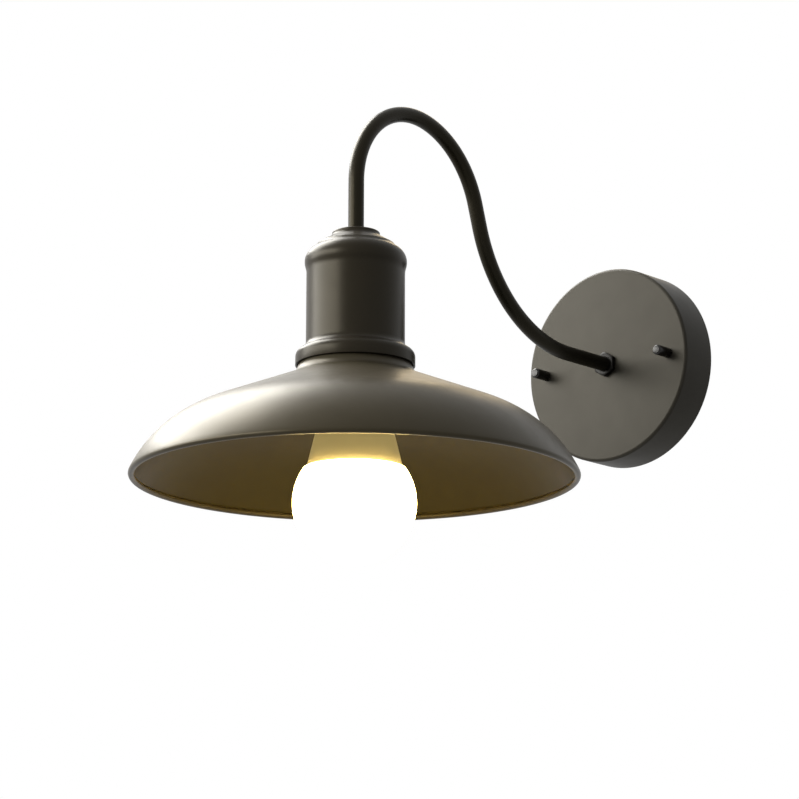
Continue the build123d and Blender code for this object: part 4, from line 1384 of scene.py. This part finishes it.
# ---------------------------------------- the studio
@dataclass
class Studio:
    """Camera, lamps, floor and background."""

    focal_pixels: float = 3000.0
    picture_width: float = 799.0
    camera_place: Triple = (1.1274, -1.5092, -0.4490)
    azimuth: float = 41.31
    tilt: float = 12.915
    roll: float = 0.13
    floor_height: float = -1.8
    floor_size: float = 60.0
    floor_paleness: float = 0.8
    floor_grey: float = 0.6
    even_level: float = 0.04
    sensor: float = 36.0
    clip: Pair = (0.05, 50.0)
    lamp_target: Triple = (0.0, -0.15, -0.02)
    daylight: Triple = (1.0, 0.985, 0.94)
    lamplight: Triple = (1.0, 0.74, 0.36)

    def build(self) -> None:
        """Set up everything that isn't the lamp."""
        self._camera()
        self._lamps()
        self._floor()
        self._world()
        bpy.context.scene.view_settings.view_transform = "Standard"

    def _camera(self) -> None:
        """Stand the camera where the photograph was taken from."""
        turn, up, roll = radians(self.azimuth), radians(self.tilt), radians(self.roll)
        forward = Vector((-sin(turn) * cos(up), cos(turn) * cos(up), sin(up)))
        right = Vector((cos(turn), sin(turn), 0))
        over = right.cross(forward)
        rolled_right = right * cos(roll) + over * sin(roll)
        rolled_over = over * cos(roll) - right * sin(roll)
        data = bpy.data.cameras.new("camera")
        data.sensor_width = self.sensor
        data.lens = self.focal_pixels / self.picture_width * self.sensor
        data.clip_start, data.clip_end = self.clip
        camera = bpy.data.objects.new("camera", data)
        bpy.context.scene.collection.objects.link(camera)
        camera.matrix_world = Matrix.Translation(self.camera_place) @ Matrix(
            (rolled_right, rolled_over, -forward)
        ).transposed().to_4x4()
        bpy.context.scene.camera = camera

    def _softbox(
        self, name: str, place: Triple, size: Pair,
        power: float, color: Triple,
    ) -> None:
        """Hang an area lamp that faces the lamp.

        Args:
            name: Its name.
            place: Where it hangs, in metres.
            size: Width and height in metres.
            power: Power in watts.
            color: Colour of its light.
        """
        data = bpy.data.lights.new(name, "AREA")
        data.shape = "RECTANGLE"
        data.size, data.size_y = size
        data.energy = power
        data.color = color
        lamp = bpy.data.objects.new(name, data)
        bpy.context.scene.collection.objects.link(lamp)
        lamp.location = place
        aim = Vector(self.lamp_target) - Vector(place)
        lamp.rotation_euler = aim.to_track_quat("-Z", "Y").to_euler()

    def _lamps(self) -> None:
        """A long low key at the left, a tall window behind it and a small warm lamp at the back."""
        self._softbox("key", (-0.75, -1.32, 0.34), (2.1, 0.5), 34.0, self.daylight)
        self._softbox("window", (-1.04, -0.30, 1.04), (1.2, 1.0), 52.0, self.daylight)
        self._softbox("back", (-0.62, 0.80, 0.80), (0.35, 0.35), 1.1, self.lamplight)

    def _floor(self) -> None:
        """Lay a plain pale floor well below the lamp, which hides nothing from underneath."""
        Bench.clear()
        bpy.ops.mesh.primitive_plane_add(size=self.floor_size, location=(0, 0, self.floor_height))
        floor = Bench.name_new("studio_floor")
        material = bpy.data.materials.new("pale_floor")
        material.use_nodes = True
        nodes = Nodes(material.node_tree)
        matte = nodes.add("BsdfDiffuse", Color=(*[self.floor_grey] * 3, 1))
        pale = nodes.add("Emission", Strength=1.0)
        path = nodes.add("LightPath").outputs
        seen = nodes.math("MAXIMUM", path["Is Camera Ray"], path["Is Glossy Ray"])
        share = nodes.math("MULTIPLY", seen, self.floor_paleness)
        surface = nodes.mix(share, matte.outputs[0], pale.outputs[0])
        behind = nodes.add("NewGeometry").outputs["Backfacing"]
        one_sided = nodes.mix(behind, surface, nodes.add("BsdfTransparent").outputs[0])
        nodes.add("OutputMaterial", Surface=one_sided)
        floor.data.materials.append(material)

    def _world(self) -> None:
        """White where the camera, gloss or glass looks; a soft even level elsewhere."""
        world = bpy.data.worlds.new("studio")
        bpy.context.scene.world = world
        world.use_nodes = True
        nodes = Nodes(world.node_tree)
        even = nodes.add("Background", Color=(0.95, 0.97, 1.0, 1.0), Strength=self.even_level)
        white = nodes.add("Background", Color=(1.0, 1.0, 1.0, 1.0), Strength=1.0)
        path = nodes.add("LightPath").outputs
        seen = nodes.math("MAXIMUM", path["Is Camera Ray"], path["Is Glossy Ray"])
        seen = nodes.math("MAXIMUM", seen, path["Is Transmission Ray"])
        both = nodes.mix(seen, even.outputs[0], white.outputs[0])
        nodes.add("OutputWorld", Surface=both)


def main() -> None:
    """Build the studio and the lamp."""
    logging.basicConfig(level=logging.INFO, format="%(name)s: %(message)s")
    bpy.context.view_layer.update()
    Studio().build()
    for assembly in (Canopy(), Arm(), SocketCup(), Shade(), Bulb(), LampThread()):
        assembly.build()
    for finish, nodes in CARRIED.items():
        for node in nodes:
            dress(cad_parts[node], finish)
    Bench.clear()


if __name__ == "__main__":
    main()
